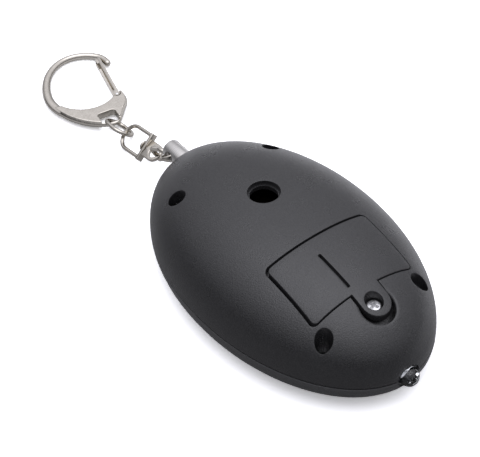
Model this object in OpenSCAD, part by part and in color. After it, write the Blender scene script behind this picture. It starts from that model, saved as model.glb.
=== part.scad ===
// Personal safety alarm with pull pin, swivel chain and snap hook.
// The case lies on its flat front face, rear face up: +Y points to the pin and chain,
// -Y to the lamp, and the origin is the middle of the flat face. Millimetres.

/* [Case] */
// Length of the oval case
case_l = 90; // [86:1:100]
// Width of the oval case
case_w = 55.7; // [54:0.5:62]
// Height of the domed rear shell above the seam
dome_h = 19.2; // [18.8:0.2:23]
// Height of the front shell below the seam
bowl_h = 8.9; // [8.5:0.1:11]
// Wall thickness of both shells
wall = 2; // [1.6:0.1:2.4]
// Share of the front face that is flat
flat_share = 0.5; // [0.45:0.01:0.6]
// Clearance between the lip of the front shell and the rear shell
lip_gap = 0.35; // [0.3:0.05:0.5]

/* [Case screws] */
// Distance of the far screws from the middle line
screw_far_x = 14.9; // [14:0.1:16]
// Distance of the far screws from the middle of the case
screw_far_y = 26.1; // [25:0.1:28]
// Distance of the near screws from the middle line
screw_near_x = 14.8; // [14.5:0.1:16]
// Distance of the near screws from the middle of the case
screw_near_y = 31; // [30.5:0.1:32]
// Diameter of the screw wells in the rear face
screw_well_d = 4.5; // [4.4:0.1:5.2]
// Diameter of the case screw heads
screw_head_d = 3.9; // [3.6:0.1:4.1]
// Height of the case screw heads
screw_head_h = 1.5; // [1.2:0.1:1.8]
// Thread diameter of the case screws
screw_d = 2.3; // [2:0.1:2.6]
// Length of the case screws below the head
screw_l = 6; // [5:0.5:6.5]

/* [Battery cover] */
// Width of the battery cover
cover_w = 30.3; // [29:0.1:31]
// Length of the battery cover without its tab
cover_l = 18; // [17.4:0.1:18.4]
// Corner radius of the battery cover
cover_r = 2; // [1:0.1:3]
// Thickness of the battery cover
cover_t = 1.6; // [1.3:0.1:1.8]
// Gap round the battery cover
cover_gap = 0.4; // [0.3:0.05:0.6]
// Distance of the middle of the cover from the middle of the case
cover_y = 18.5; // [18:0.1:19]
// Width of the screw tab
tab_w = 7.8; // [7.4:0.1:9]
// Length of the grip groove in the cover
groove_l = 11; // [8:0.5:13]
// Width of the grip groove
groove_w = 0.7; // [0.5:0.1:1]
// Distance of the grip groove from the middle line
groove_x = 2.8; // [0:0.1:4]
// Diameter of the cover screw head
cover_head_d = 3.9; // [3.4:0.1:4]
// Depth of the cover screw head below the surface
cover_head_sunk = 1.8; // [1.5:0.1:2.2]

/* [Siren] */
// Diameter of the sound hole
sound_d = 8.2; // [7:0.1:10]
// Distance of the sound hole from the middle of the case
sound_y = 10; // [9:0.1:11]
// Diameter of the brass disc of the siren
disc_d = 32.4; // [30:0.2:33]
// Thickness of the brass disc
disc_t = 0.3; // [0.2:0.05:0.5]
// Diameter of the ceramic disc
ceramic_d = 22; // [18:0.5:25]

/* [Cells] */
// Diameter of one button cell
cell_d = 11.6; // [11.2:0.1:11.8]
// Thickness of one button cell
cell_t = 5.4; // [5:0.1:5.5]

/* [Lamp and button] */
// Diameter of the lamp lens
lamp_d = 5; // [4.8:0.1:5.4]
// How far the lamp stands out of the case
lamp_out = 2.4; // [1.5:0.1:3]
// Diameter of the push button
button_d = 11; // [9:0.5:13]
// Depth of the button below the flat face
button_sunk = 0.3; // [0.2:0.05:0.6]

/* [Pull pin] */
// Diameter of the pin head
pin_d = 5.2; // [4.8:0.1:5.6]
// How far the pin head stands out of the case
pin_out = 5; // [4.5:0.1:6]
// Diameter of the pin shaft
shaft_d = 2.5; // [2:0.1:3]
// Diameter of the cross hole for the jump ring
cross_d = 2.6; // [2.5:0.05:3]

/* [Chain] */
// Radius of the jump ring to the middle of its wire
ring_r = 3.5; // [3.4:0.1:4]
// Wire diameter of the jump ring
ring_wire = 1; // [0.8:0.1:1.1]
// Wire diameter of the curb link
link_wire = 1.3; // [1:0.1:1.4]
// Straight length of the curb link
link_straight = 2.9; // [2.8:0.1:4]
// Width of the swivel tab
eye_w = 5.2; // [5:0.1:6]
// Thickness of the swivel tab
eye_t = 1; // [0.8:0.1:1.1]
// Width of the swivel bail
bail_w = 8; // [7.4:0.1:9]
// Wire diameter of the swivel bail
bail_wire = 1.1; // [0.9:0.1:1.2]
// Straight length of the bail legs
bail_leg = 6.9; // [6.5:0.1:8]
// Radius of the ends of the oval ring to the middle of its wire
oval_r = 3.1; // [3:0.1:4]
// Wire diameter of the oval ring
oval_wire = 1.2; // [1:0.1:1.2]
// Straight length of the oval ring
oval_straight = 2.3; // [2.2:0.1:5]

/* [Snap hook] */
// Half width of the oval of the bow to the middle of its wire
bow_w = 12.9; // [12.6:0.1:13.4]
// Half length of the oval of the bow to the middle of its wire
bow_l = 18.3; // [18:0.1:19]
// Wire diameter of the bow at its nose
bow_wire = 1.95; // [1.8:0.05:2.1]
// Width of the bow where it leaves the plate
bow_root = 2.8; // [2.5:0.1:3]
// Thickness of the hook plate
plate_t = 2.2; // [2:0.1:2.6]
// Thickness of the round bar below the eye
bar_w = 1.3; // [1.2:0.1:1.4]
// Thickness of the sheet of the gate
gate_sheet = 0.35; // [0.3:0.05:0.4]
// Width of the gate channel
gate_w = 2; // [1.9:0.1:2.2]

/* [Hidden] */

$fn = 64;

// Colours as in the photo
shell_black = "#2c2c2e";
nickel = "#b8b2aa";
steel = "#c4c4c6";
brass = "#c2a050";
board_green = "#2f6b3c";
part_black = "#1c1c1e";
copper = "#a8642e";

// Small common values
touch = 0.01;
over = 1;
fit_gap = 0.1;
slide_gap = 0.15;
high_z = 60;
wire_sides = 6;

// Case outline and its two profile curves
half_l = case_l / 2;
half_w = case_w / 2;
seam_z = bowl_h;
dome_flat = 2.25;
dome_round = 2.47;
bowl_flat = 2.4;
bowl_round = 2.7;
outer_sides = 64;
outer_steps = 11;
inner_sides = 40;
inner_steps = 6;
apex_share = 0.93;
dome_spread = 1.25;
bowl_spread = 0.8;

function radial(x, y, hw, hl) = sqrt(pow(x / hw, 2) + pow(y / hl, 2));
// Height of the dome, lowered by t all round, above the point x, y
function dome_z(x, y, t = 0) =
    seam_z + (dome_h - t) * pow(1 - pow(radial(x, y, half_w - t, half_l - t), dome_flat), 1 / dome_round);
function oval_ring_points(hw, hl, z, sides) =
    [for (i = [0:sides - 1]) [hw * cos(360 * i / sides), hl * sin(360 * i / sides), z]];
// Rings of the dome from the seam up, lowered by t
function dome_rings(t, sides, steps) =
    [for (k = [0:steps])
        let (a = 90 * apex_share * pow(k / steps, dome_spread), rho = pow(cos(a), 2 / dome_flat))
        oval_ring_points(rho * (half_w - t), rho * (half_l - t),
            seam_z + (dome_h - t) * pow(sin(a), 2 / dome_round), sides)];
// Rings of the front shell from its flat face up to the seam, shrunk by t
function bowl_rings(t, sides, steps) =
    [for (k = [0:steps])
        let (a = 90 * pow(k / steps, bowl_spread), s = pow(sin(a), 2 / bowl_flat),
            rho = flat_share + (1 - flat_share) * s)
        oval_ring_points(rho * (half_w - t), rho * (half_l - t),
            seam_z - (bowl_h - t) * pow(cos(a), 2 / bowl_round), sides)];

// Case screws: the four places, the head seats and the split between the bosses
screw_spots = [[screw_far_x, screw_far_y], [-screw_far_x, screw_far_y],
    [screw_near_x, -screw_near_y], [-screw_near_x, -screw_near_y]];
screw_seat_up = 2.4;
screw_seat_z = seam_z + screw_seat_up;
boss_split_z = seam_z + fit_gap;
boss_wall = 1.3;
boss_rear_r = screw_well_d / 2 + boss_wall;
thread_wall = 2.2;
boss_front_r = screw_d / 2 + thread_wall;

// Battery cover, its screw and the nail recess beyond its tab
cover_seat_gap = 0.12;
cover_mid_y = -cover_y;
cover_near_y = cover_mid_y - cover_l / 2;
tab_l = 3.9;
cover_screw_y = cover_near_y - tab_l;
nail_w = 1;
nail_r = tab_w / 2 + nail_w;
nail_shift = 1.2;
nail_depth = 3.2;
head_room = 0.3;
cover_well_d = cover_head_d + 2 * head_room;
cover_head_h = 1.3;
cover_head_z = dome_z(0, cover_screw_y) - cover_head_sunk;
cover_seat_z = cover_head_z - cover_head_h;
cover_cup_floor = 0.9;
cover_cup_inset = 0.8;
cover_cup_r = tab_w / 2 - cover_cup_inset;
cover_cup_z = cover_seat_z - cover_cup_floor;
cover_screw_d = 2.2;
cover_screw_l = 7;
skirt_t = 1;
skirt_h = 2.2;
skirt_inset = 2;
groove_shift = 1.6;
thread_room = 0.6;

// Cells lie in one row along X on the floor of their well
cell_count = 4;
cell_gap = 0.05;
contact_t = 0.4;
spring_room = 4.4;
tail_w = 3;
cell_row_l = cell_count * (cell_t + cell_gap) - cell_gap;
well_half_l = (cell_row_l + spring_room + 2 * contact_t) / 2 + fit_gap / 2;
cell_side_room = 0.9;
well_half_w = cell_d / 2 + cell_side_room;
cell_top_z = dome_z(well_half_l, cover_mid_y, cover_t) - slide_gap;
cell_z = cell_top_z - cell_d / 2;
well_floor_z = cell_top_z - cell_d;
well_floor_t = 1.5;
well_wall = 3.2;
cell_right_x = well_half_l - contact_t - fit_gap / 2;
cell_left_x = cell_right_x - cell_row_l;

// Siren: the disc closes a round chamber behind the sound hole
siren_drop = 1.8;
siren_z = dome_z(disc_d / 2, sound_y, wall) - siren_drop;
siren_rim = 1.7;
siren_rim_out = 0.7;
siren_rim_r = disc_d / 2 + siren_rim_out;
sound_step = 0.5;
sound_step_d = sound_d - 2 * sound_step;
sound_step_depth = 2.4;
sound_rim = 1.1;
sound_ledge = 1.2;
ceramic_t = 0.25;

// Board, lamp, button and switch
lead_t = 0.5;
lead_pitch = 2.54;
board_t = 1.6;
board_top = seam_z - lead_t / 2;
board_bottom = board_top - board_t;
board_half_w = 17;
board_near_y = -27;
board_shoulder_y = 20;
board_neck_w = 14;
board_far_y = 38;
post_spots = [[13, 14], [-13, 14], [13, -21], [-13, -21]];
post_d = 3.6;
coil_at = [-9.5, 3.5, board_top];
coil_d = 9;
coil_h = 9;
coil_flange = 1.2;
coil_waist_d = 4.4;
transistor_at = [9.5, 4, board_top];
chip_at = [4, -2.5, board_top];
resistor_x = 11;
resistor_ys = [13, 17];
lamp_tip_y = -half_l - lamp_out;
lamp_collar_l = 4.1;
lamp_collar_y = -half_l + lamp_collar_l;
lamp_flange_t = 1;
lamp_flange_w = 0.4;
lamp_flange_d = lamp_d + 2 * lamp_flange_w;
lamp_back_y = lamp_collar_y + fit_gap + lamp_flange_t;
lamp_recess_w = 0.85;
lamp_recess_d = lamp_d + 2 * lamp_recess_w;
lamp_hole_d = lamp_d + 2 * slide_gap;
lamp_collar_w = 1.5;
lamp_collar_d = lamp_d + 2 * lamp_collar_w;
lamp_recess_l = 1;
lead_on_board = 4;
lead_end_y = board_near_y + lead_on_board;
button_y = 12;
floor_t = wall;
dish_w = 3;
dish_d = button_d + 2 * dish_w;
dish_depth = 0.5;
button_flange_w = 1.3;
button_flange_d = button_d + 2 * button_flange_w;
button_flange_t = 0.8;
button_travel = 0.6;
button_top_z = floor_t + touch + button_flange_t;
switch_w = 6;
switch_bottom = button_top_z + button_travel + slide_gap;
plunger_d = 3.2;
plunger_in = 0.35;

// Pin, its seat in the rear shell, its socket and contacts
pin_up = 4.4;
pin_z = seam_z + pin_up;
pin_in = 3;
pin_seat_y = half_l - pin_in;
pin_end_y = half_l + pin_out;
pin_boss_l = 6.7;
pin_boss_y = half_l - pin_boss_l;
pin_boss_wall = 1.6;
pin_boss_r = pin_d / 2 + pin_boss_wall;
cross_in = 0.2;
cross_y = pin_end_y - pin_d / 2 - cross_in;
shaft_in = 22;
shaft_end_y = half_l - shaft_in;
socket_w = 8.4;
socket_gap = 0.3;
socket_far_y = pin_boss_y - socket_gap;
socket_l = 11.5;
socket_up = 3.9;
socket_h = pin_z - board_top + socket_up;
contact_blade_l = 7;
contact_blade_t = 0.3;
contact_blade_up = 2;

// Chain: pitch angles below the horizontal and roll angles at rest, from the pin outwards
ring_pitch = 42;
link_pitch = 31;
eye_pitch = 11;
eye_roll = 25;
bail_roll = 38;
oval_roll = -37;
oval_yaw = -2.6;
hook_yaw = -10;
function along(pitch, yaw = 0) = [-sin(yaw) * cos(pitch), cos(yaw) * cos(pitch), -sin(pitch)];

cross_at = [0, cross_y, pin_z];
// The ring rests on the mouths of the cross hole, so its wire bows back inside the pin
ring_slack = 0.25;
ring_bow = ring_r - sqrt(pow(ring_r, 2) - pow(pin_d / 2, 2));
ring_mid = ring_r + cross_d / 2 - ring_wire / 2 - ring_slack - ring_bow;
link_at = cross_at + (ring_mid + ring_r) * along(ring_pitch);
link_room = 1.1;
link_arc_r = link_wire / 2 + eye_t / 2 + link_room;
link_seat = link_arc_r - link_wire / 2 - ring_wire / 2 - fit_gap;
link_apex = link_at + (link_seat + link_straight + link_arc_r) * along(link_pitch);
eye_hole_room = 1.9;
eye_hole_d = link_wire + eye_hole_room;
eye_rim_gap = 0.6;
eye_at = link_apex + (eye_hole_d / 2 - link_wire / 2 - eye_rim_gap) * along(link_pitch);
eye_l = 4;
base_t = 0.9;
base_h = 2;
base_side = 0.15;
rivet_d = 1.2;
rivet_head_d = 3;
rivet_head_t = 0.9;
bail_at = eye_at + eye_l * along(eye_pitch);
bail_arc_r = bail_w / 2 - bail_wire / 2;
bail_apex = bail_at + (bail_leg + bail_arc_r) * along(eye_pitch);
oval_near = bail_apex - (bail_wire / 2 + oval_wire / 2 + fit_gap) * along(eye_pitch);
oval_l = oval_straight + 2 * oval_r;
hook_lift = 2.05;
oval_pitch = asin((oval_near[2] - hook_lift) / oval_l);
oval_far = oval_near + oval_l * along(oval_pitch, oval_yaw);

// Snap hook, drawn flat with the middle of its eye at 0, 0 and its bow towards +Y
bow_at = [1, 11.7];
bow_turns = [165, 55];
bow_sides = 16;
bow_step = 5;
root_r = 13;
root_turns = [205, 170];
root_steps = 8;
nose_r = 6;
nose_turns = [40, -2];
nose_steps = 7;
root_at = bow_point(bow_turns[0]) - root_r * [cos(root_turns[1]), sin(root_turns[1])];
nose_at = bow_point(bow_turns[1]) - nose_r * [cos(nose_turns[0]), sin(nose_turns[0])];
function bow_point(a) = bow_at + [bow_w * cos(a), bow_l * sin(a)];
bow_floor_gap = 0.05;
bar_reach = 3;
bar_thin = 0.7;
bar_from_x = -2;
bar_to_x = 2.5;
bar_blend = 0.3;
eye_slot_x = -0.25;
eye_slot_w = 5.3;
eye_slot_l = 4;
eye_slot_r = 0.9;
bar_y = -eye_slot_l / 2;
foot_r = 2.8;
// Outline of the plate: middle, radius, turns and steps of each arc, from its back
// round the foot at the bar and the neck to the ear at the gate
plate_back_at = [6.95, 14.8];
plate_back_r = 19.56;
plate_back_turns = [193, 246];
plate_back_steps = 12;
foot_at = [0.5, bar_y - bar_w + foot_r];
foot_turns = [252, 328];
foot_steps = 8;
neck_at = [1.4, 6.8];
neck_r = 6.6;
neck_turns = [-46, 4];
neck_steps = 8;
ear_at = [6.9, 8];
ear_r = 1.1;
ear_turns = [8, 95];
ear_steps = 5;
plate_arcs = [
    [plate_back_at, plate_back_r, plate_back_turns, plate_back_steps],
    [foot_at, foot_r, foot_turns, foot_steps],
    [neck_at, neck_r, neck_turns, neck_steps],
    [ear_at, ear_r, ear_turns, ear_steps]];
plate_edge = 0.5;
plate_flat = 0.6;
loop_at = [-1.2, 15];
loop_r = 9.8;
gate_at = [5.95, 7.7];
gate_lean = 5.7;
gate_half = 0.75;
gate_l = 17.6;
gate_room = gate_w - 2 * gate_sheet;
gate_open_l = 1.2;
gate_clear = 0.3;
gate_pin_d = 0.8;
lug_r = 0.95;
lug_t = 0.55;
lug_z = -gate_room / 2 + fit_gap / 2;
gate_spring_wire = 0.2;
hook_along = along(0, hook_yaw);
// The oval ring rests against the bar, inside the eye
hook_at = oval_far - (bar_y + oval_wire / 2 + fit_gap) * hook_along;
hook_pitch = asin((hook_lift - bow_wire / 2 - bow_floor_gap) / (bow_at[1] + bow_l));

// Stacks rings of equal count into one closed solid, listed from the lowest ring up
module loft(rings) {
    sides = len(rings[0]);
    last = len(rings) - 1;
    points = [for (r = rings, p = r) p];
    floor_face = [for (i = [0:sides - 1]) i];
    roof_face = [for (i = [sides - 1:-1:0]) last * sides + i];
    side_faces = [for (k = [0:last - 1], i = [0:sides - 1])
        let (j = (i + 1) % sides)
        [k * sides + i, (k + 1) * sides + i, (k + 1) * sides + j, k * sides + j]];
    polyhedron(points, concat([floor_face], [roof_face], side_faces));
}

// Sweeps a round wire along the points of a coil that winds round coil_axis
module wire_sweep(path, r, sides, coil_axis) {
    last = len(path) - 1;
    function step(k) = path[min(k + 1, last)] - path[max(k - 1, 0)];
    function unit(v) = v / norm(v);
    loft([for (k = [0:last])
        let (d = unit(step(k)), a = unit(cross(d, coil_axis)), b = cross(d, a))
        [for (i = [0:sides - 1]) path[k] + r * (cos(360 * i / sides) * a + sin(360 * i / sides) * b)]]);
}

// Puts a chain piece at a point, with its own +Y pointing down the chain
module lay(at, pitch, roll = 0, yaw = 0) {
    translate(at)
        rotate([-pitch, 0, yaw])
            rotate([0, -roll, 0])
                children();
}

// Cylinder along +Y from y0 to y1
module rod_y(r, y0, y1, z) {
    translate([0, y0, z])
        rotate([-90, 0, 0])
            cylinder(r = r, h = y1 - y0);
}

module rounded_rect(w, l, r) {
    square([w - 2 * r, l], center = true);
    square([w, l - 2 * r], center = true);
    for (x = [-1, 1], y = [-1, 1])
        translate([x * (w / 2 - r), y * (l / 2 - r)])
            circle(r = r);
}

// Outer dome, or the dome lowered by t
module dome(t, sides = outer_sides, steps = outer_steps, below = 0) {
    rings = dome_rings(t, sides, steps);
    skirt = [for (p = rings[0]) [p[0], p[1], p[2] - below]];
    loft(below > 0 ? concat([skirt], rings) : rings);
}

module bowl(t, sides = outer_sides, steps = outer_steps - 2, above = 0) {
    rings = bowl_rings(t, sides, steps);
    rim = rings[len(rings) - 1];
    raised = [for (p = rim) [p[0], p[1], p[2] + above]];
    loft(above > 0 ? concat(rings, [raised]) : rings);
}

// Plan of the battery cover with its tab, grown by g
module cover_plan(g) {
    translate([0, cover_mid_y])
        rounded_rect(cover_w + 2 * g, cover_l + 2 * g, cover_r + g);
    translate([-tab_w / 2 - g, cover_screw_y])
        square([tab_w + 2 * g, cover_mid_y - cover_screw_y]);
    translate([0, cover_screw_y])
        circle(r = tab_w / 2 + g);
}

// Bosses and walls that stand inside the rear shell
module rear_inside() {
    for (s = screw_spots)
        translate([s[0], s[1], boss_split_z])
            cylinder(r = boss_rear_r, h = high_z);
    translate([0, sound_y, siren_z])
        difference() {
            cylinder(r = siren_rim_r, h = high_z);
            translate([0, 0, -over])
                cylinder(r = siren_rim_r - siren_rim, h = high_z + 2 * over);
        }
    translate([0, sound_y, dome_z(0, sound_y) - sound_step_depth - sound_ledge])
        cylinder(r = sound_d / 2 + sound_rim, h = high_z);
    well_w = 2 * (well_half_l + well_wall);
    well_l = 2 * (well_half_w + well_wall);
    translate([-well_w / 2, cover_mid_y - well_l / 2, well_floor_z - well_floor_t])
        cube([well_w, well_l, high_z]);
    tab_half = nail_r + boss_wall;
    translate([-tab_half, cover_screw_y - nail_shift - tab_half, well_floor_z - well_floor_t])
        cube([2 * tab_half, cover_l / 2 + tab_half, high_z]);
    rod_y(pin_boss_r, pin_boss_y, half_l, pin_z);
    rod_y(lamp_collar_d / 2, -half_l, lamp_collar_y, seam_z);
}

// Holes through the rear shell and its bosses
module rear_holes() {
    for (s = screw_spots) {
        translate([s[0], s[1], screw_seat_z])
            cylinder(d = screw_well_d, h = high_z);
        translate([s[0], s[1], boss_split_z - over])
            cylinder(d = screw_d + 2 * fit_gap, h = high_z);
    }
    translate([0, sound_y, siren_z - over])
        cylinder(d = sound_step_d, h = high_z);
    translate([0, sound_y, dome_z(0, sound_y) - sound_step_depth])
        cylinder(d = sound_d, h = high_z);
    // Cell well with slots for the tails of the contacts
    translate([-well_half_l, cover_mid_y - well_half_w, well_floor_z])
        cube([2 * well_half_l, 2 * well_half_w, high_z]);
    for (x = [-1, 1])
        translate([x * (well_half_l - contact_t / 2), cover_mid_y, well_floor_z])
            cube([contact_t + 2 * fit_gap, tail_w + 2 * fit_gap, 4 * well_floor_t], center = true);
    // Cup and thread of the cover screw
    translate([0, cover_screw_y, cover_cup_z - slide_gap])
        cylinder(r = cover_cup_r + slide_gap, h = high_z);
    translate([0, cover_screw_y, cover_seat_z - cover_screw_l - thread_room])
        cylinder(d = cover_screw_d + 2 * fit_gap, h = high_z);
    // Pin and lamp
    rod_y(pin_d / 2 + slide_gap, pin_seat_y, half_l + over, pin_z);
    rod_y(shaft_d / 2 + fit_gap, pin_boss_y - over, half_l, pin_z);
    lamp_holes();
}

// Stepped opening for the lamp, half in each shell
module lamp_holes() {
    rod_y(lamp_recess_d / 2, -half_l - over, -half_l + lamp_recess_l, seam_z);
    rod_y(lamp_hole_d / 2, -half_l - over, lamp_collar_y + over, seam_z);
}

module rear_shell() {
    color(shell_black)
        difference() {
            dome(0);
            difference() {
                dome(wall, inner_sides, inner_steps, over);
                rear_inside();
            }
            difference() {
                linear_extrude(high_z)
                    cover_plan(cover_gap);
                dome(cover_t + cover_seat_gap, inner_sides, inner_steps, over);
            }
            difference() {
                translate([0, cover_screw_y - nail_shift, 0])
                    cylinder(r = nail_r, h = high_z);
                dome(nail_depth, inner_sides, inner_steps, over);
            }
            rear_holes();
        }
}

// Bosses and posts that stand inside the front shell
module front_inside() {
    for (s = screw_spots)
        translate([s[0], s[1], 0])
            cylinder(r = boss_front_r, h = high_z);
    for (p = post_spots)
        translate([p[0], p[1], 0])
            cylinder(d = post_d, h = board_bottom);
    rod_y(lamp_collar_d / 2, -half_l, lamp_collar_y, seam_z);
}

// Lip that stands up inside the rear shell, open at the pin and at the lamp
module seam_lip() {
    lip_t = 0.9;
    lip_up = 1;
    lip_down = 1.4;
    lip_bite = 0.4;
    lip_clear = 0.5;
    module oval(t) {
        polygon([for (p = oval_ring_points(half_w - t, half_l - t, 0, outer_sides)) [p[0], p[1]]]);
    }
    difference() {
        union() {
            translate([0, 0, seam_z - lip_down])
                linear_extrude(lip_down)
                    oval(wall - lip_bite);
            translate([0, 0, seam_z - lip_down])
                linear_extrude(lip_down + lip_up)
                    oval(wall + lip_gap);
        }
        translate([0, 0, seam_z - lip_down - over])
            linear_extrude(lip_down + lip_up + 2 * over)
                oval(wall + lip_gap + lip_t);
        for (s = screw_spots)
            translate([s[0], s[1], seam_z])
                cylinder(r = boss_rear_r + lip_clear, h = high_z);
        pin_clear = pin_boss_r + lip_clear;
        translate([-pin_clear, 0, seam_z])
            cube([2 * pin_clear, case_l, high_z]);
        lamp_clear = lamp_collar_d / 2 + lip_clear;
        translate([-lamp_clear, -case_l, seam_z])
            cube([2 * lamp_clear, case_l, high_z]);
    }
}

module front_shell() {
    thread_floor = screw_seat_z - screw_l - thread_room;
    color(shell_black)
        difference() {
            union() {
                difference() {
                    bowl(0);
                    difference() {
                        bowl(wall, inner_sides, inner_steps, over);
                        front_inside();
                    }
                }
                seam_lip();
            }
            for (s = screw_spots)
                translate([s[0], s[1], thread_floor])
                    cylinder(d = screw_d + fit_gap, h = high_z);
            translate([0, button_y, -over])
                cylinder(d = button_d + 2 * slide_gap, h = floor_t + 2 * over);
            translate([0, button_y, -over])
                cylinder(d = dish_d, h = over + dish_depth);
            lamp_holes();
        }
}

// Self-tapping screw with a pan head and a cross recess, seat at z = 0
module screw(head_d, head_h, d, l) {
    slot_w = 0.17 * head_d;
    slot_l = 0.62 * head_d;
    slot_floor = 0.4 * head_h;
    difference() {
        union() {
            cylinder(d = head_d, h = head_h);
            translate([0, 0, -l])
                cylinder(d = d, h = l + touch);
        }
        for (a = [0, 90])
            rotate([0, 0, a])
                translate([-slot_l / 2, -slot_w / 2, slot_floor])
                    cube([slot_l, slot_w, head_h]);
    }
}

module case_screws() {
    color(steel)
        for (s = screw_spots)
            translate([s[0], s[1], screw_seat_z])
                screw(screw_head_d, screw_head_h, screw_d, screw_l);
}

module battery_cover() {
    color(shell_black)
        difference() {
            union() {
                difference() {
                    intersection() {
                        dome(0);
                        linear_extrude(high_z)
                            cover_plan(0);
                    }
                    dome(cover_t, inner_sides, inner_steps, over);
                }
                intersection() {
                    dome(cover_t / 2, inner_sides, inner_steps);
                    cover_inside();
                }
            }
            translate([0, cover_screw_y, cover_seat_z])
                cylinder(d = cover_well_d, h = high_z);
            translate([0, cover_screw_y, 0])
                cylinder(d = cover_screw_d + 2 * fit_gap, h = high_z);
            difference() {
                translate([-groove_x, cover_mid_y - groove_shift, 0])
                    linear_extrude(high_z)
                        rounded_rect(groove_w, groove_l, groove_w / 2 - touch);
                dome(cover_t / 2, inner_sides, inner_steps, over);
            }
        }
}

// Skirts that drop into the cell well, and the cup of the cover screw
module cover_inside() {
    skirt_y = well_half_w - slide_gap - skirt_t;
    skirt_l = 2 * (well_half_l - skirt_inset);
    skirt_z = dome_z(well_half_l, cover_mid_y - well_half_w, cover_t) - skirt_h / 2;
    for (y = [-well_half_w + slide_gap, skirt_y])
        translate([-skirt_l / 2, cover_mid_y + y, skirt_z])
            cube([skirt_l, skirt_t, high_z]);
    translate([0, cover_screw_y, cover_cup_z])
        cylinder(r = cover_cup_r, h = high_z);
}

module cover_screw() {
    color(steel)
        translate([0, cover_screw_y, cover_seat_z])
            screw(cover_head_d, cover_head_h, cover_screw_d, cover_screw_l);
}

// Row of button cells, each with the narrower face of its minus pole
module button_cells() {
    pole_t = 0.4;
    pole_inset = 0.7;
    color(steel)
        for (i = [0:cell_count - 1])
            translate([cell_left_x + i * (cell_t + cell_gap), cover_mid_y, cell_z])
                rotate([0, 90, 0]) {
                    cylinder(d = cell_d - 2 * pole_inset, h = pole_t);
                    translate([0, 0, pole_t])
                        cylinder(d = cell_d, h = cell_t - pole_t);
                }
}

// Contact plates at both ends of the row, with tails that reach the board
module cell_contact_plates() {
    plate_w = 9;
    color(steel)
        for (x = [-1, 1]) {
            left = x * (well_half_l - contact_t / 2) - contact_t / 2;
            translate([left, cover_mid_y - plate_w / 2, cell_z - plate_w / 2])
                cube([contact_t, plate_w, plate_w]);
            translate([left, cover_mid_y - tail_w / 2, board_top])
                cube([contact_t, tail_w, cell_z - board_top]);
        }
}

// Conical spring that presses the row of cells against the far plate
module cell_spring() {
    wire = 0.5;
    turns = 3;
    wide_r = 4;
    narrow_r = 2.4;
    rings = 12;
    x0 = -well_half_l + contact_t + wire / 2 + fit_gap / 2;
    x1 = cell_left_x - wire / 2 - fit_gap / 2;
    path = [for (k = [0:turns * rings])
        let (f = k / (turns * rings), r = wide_r + (narrow_r - wide_r) * f, a = 360 * turns * f)
        [x0 + (x1 - x0) * f, cover_mid_y + r * cos(a), cell_z + r * sin(a)]];
    color(steel)
        wire_sweep(path, wire / 2, wire_sides, [1, 0, 0]);
}

module siren_disc() {
    color(brass)
        translate([0, sound_y, siren_z - disc_t])
            cylinder(d = disc_d, h = disc_t);
}

module siren_ceramic() {
    color("#d8d2c4")
        translate([0, sound_y, siren_z - disc_t - ceramic_t])
            cylinder(d = ceramic_d, h = ceramic_t);
}

// Stiff wires from the board to the brass and to the ceramic
module siren_wires() {
    wire_d = 0.9;
    wire_y = 6;
    brass_spot = [-11, sound_y + wire_y];
    ceramic_spot = [6, sound_y + wire_y];
    color("firebrick") {
        translate([brass_spot[0], brass_spot[1], board_top])
            cylinder(d = wire_d, h = siren_z - disc_t - board_top);
        translate([ceramic_spot[0], ceramic_spot[1], board_top])
            cylinder(d = wire_d, h = siren_z - disc_t - ceramic_t - board_top);
    }
}

module circuit_board() {
    color(board_green)
        translate([0, 0, board_bottom])
            linear_extrude(board_t) {
                translate([-board_half_w, board_near_y])
                    square([2 * board_half_w, board_shoulder_y - board_near_y]);
                translate([-board_neck_w / 2, 0])
                    square([board_neck_w, board_far_y]);
            }
}

module boost_coil_core() {
    color("#3a3a3c")
        translate(coil_at) {
            cylinder(d = coil_d, h = coil_flange);
            cylinder(d = coil_waist_d, h = coil_h);
            translate([0, 0, coil_h - coil_flange])
                cylinder(d = coil_d, h = coil_flange);
        }
}

module boost_coil_winding() {
    winding_inset = 0.4;
    color(copper)
        translate(coil_at + [0, 0, coil_flange])
            difference() {
                cylinder(d = coil_d - 2 * winding_inset, h = coil_h - 2 * coil_flange);
                translate([0, 0, -over])
                    cylinder(d = coil_waist_d, h = coil_h);
            }
}

// Transistor with a flat front on three legs
module driver_transistor() {
    body_d = 4.8;
    body_h = 4.6;
    leg_l = 3.4;
    leg_t = 0.45;
    leg_pitch = 1.27;
    flat_y = 1.3;
    color(part_black)
        translate(transistor_at) {
            translate([0, 0, leg_l])
                intersection() {
                    cylinder(d = body_d, h = body_h);
                    translate([-body_d, -flat_y, 0])
                        cube([2 * body_d, 2 * body_d, body_h]);
                }
            for (i = [-1, 0, 1])
                translate([i * leg_pitch - leg_t / 2, -leg_t / 2, 0])
                    cube([leg_t, leg_t, leg_l]);
        }
}

// Bonded chip under a round drop of resin
module control_chip() {
    drop_d = 8;
    drop_h = 1.3;
    ball_r = (pow(drop_d / 2, 2) + pow(drop_h, 2)) / (2 * drop_h);
    color(part_black)
        translate(chip_at)
            intersection() {
                translate([0, 0, drop_h - ball_r])
                    sphere(r = ball_r);
                cylinder(d = drop_d + over, h = drop_h + over);
            }
}

module resistors() {
    body_d = 1.9;
    body_l = 5.2;
    leg_d = 0.5;
    leg_span = 7.6;
    color("tan")
        for (y = resistor_ys)
            translate([resistor_x, y, board_top + body_d / 2]) {
                rotate([0, 90, 0]) {
                    cylinder(d = body_d, h = body_l, center = true);
                    cylinder(d = leg_d, h = leg_span, center = true);
                }
                for (x = [-1, 1])
                    translate([x * (leg_span - leg_d) / 2, 0, -body_d / 2])
                        cylinder(d = leg_d, h = body_d / 2);
            }
}

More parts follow.
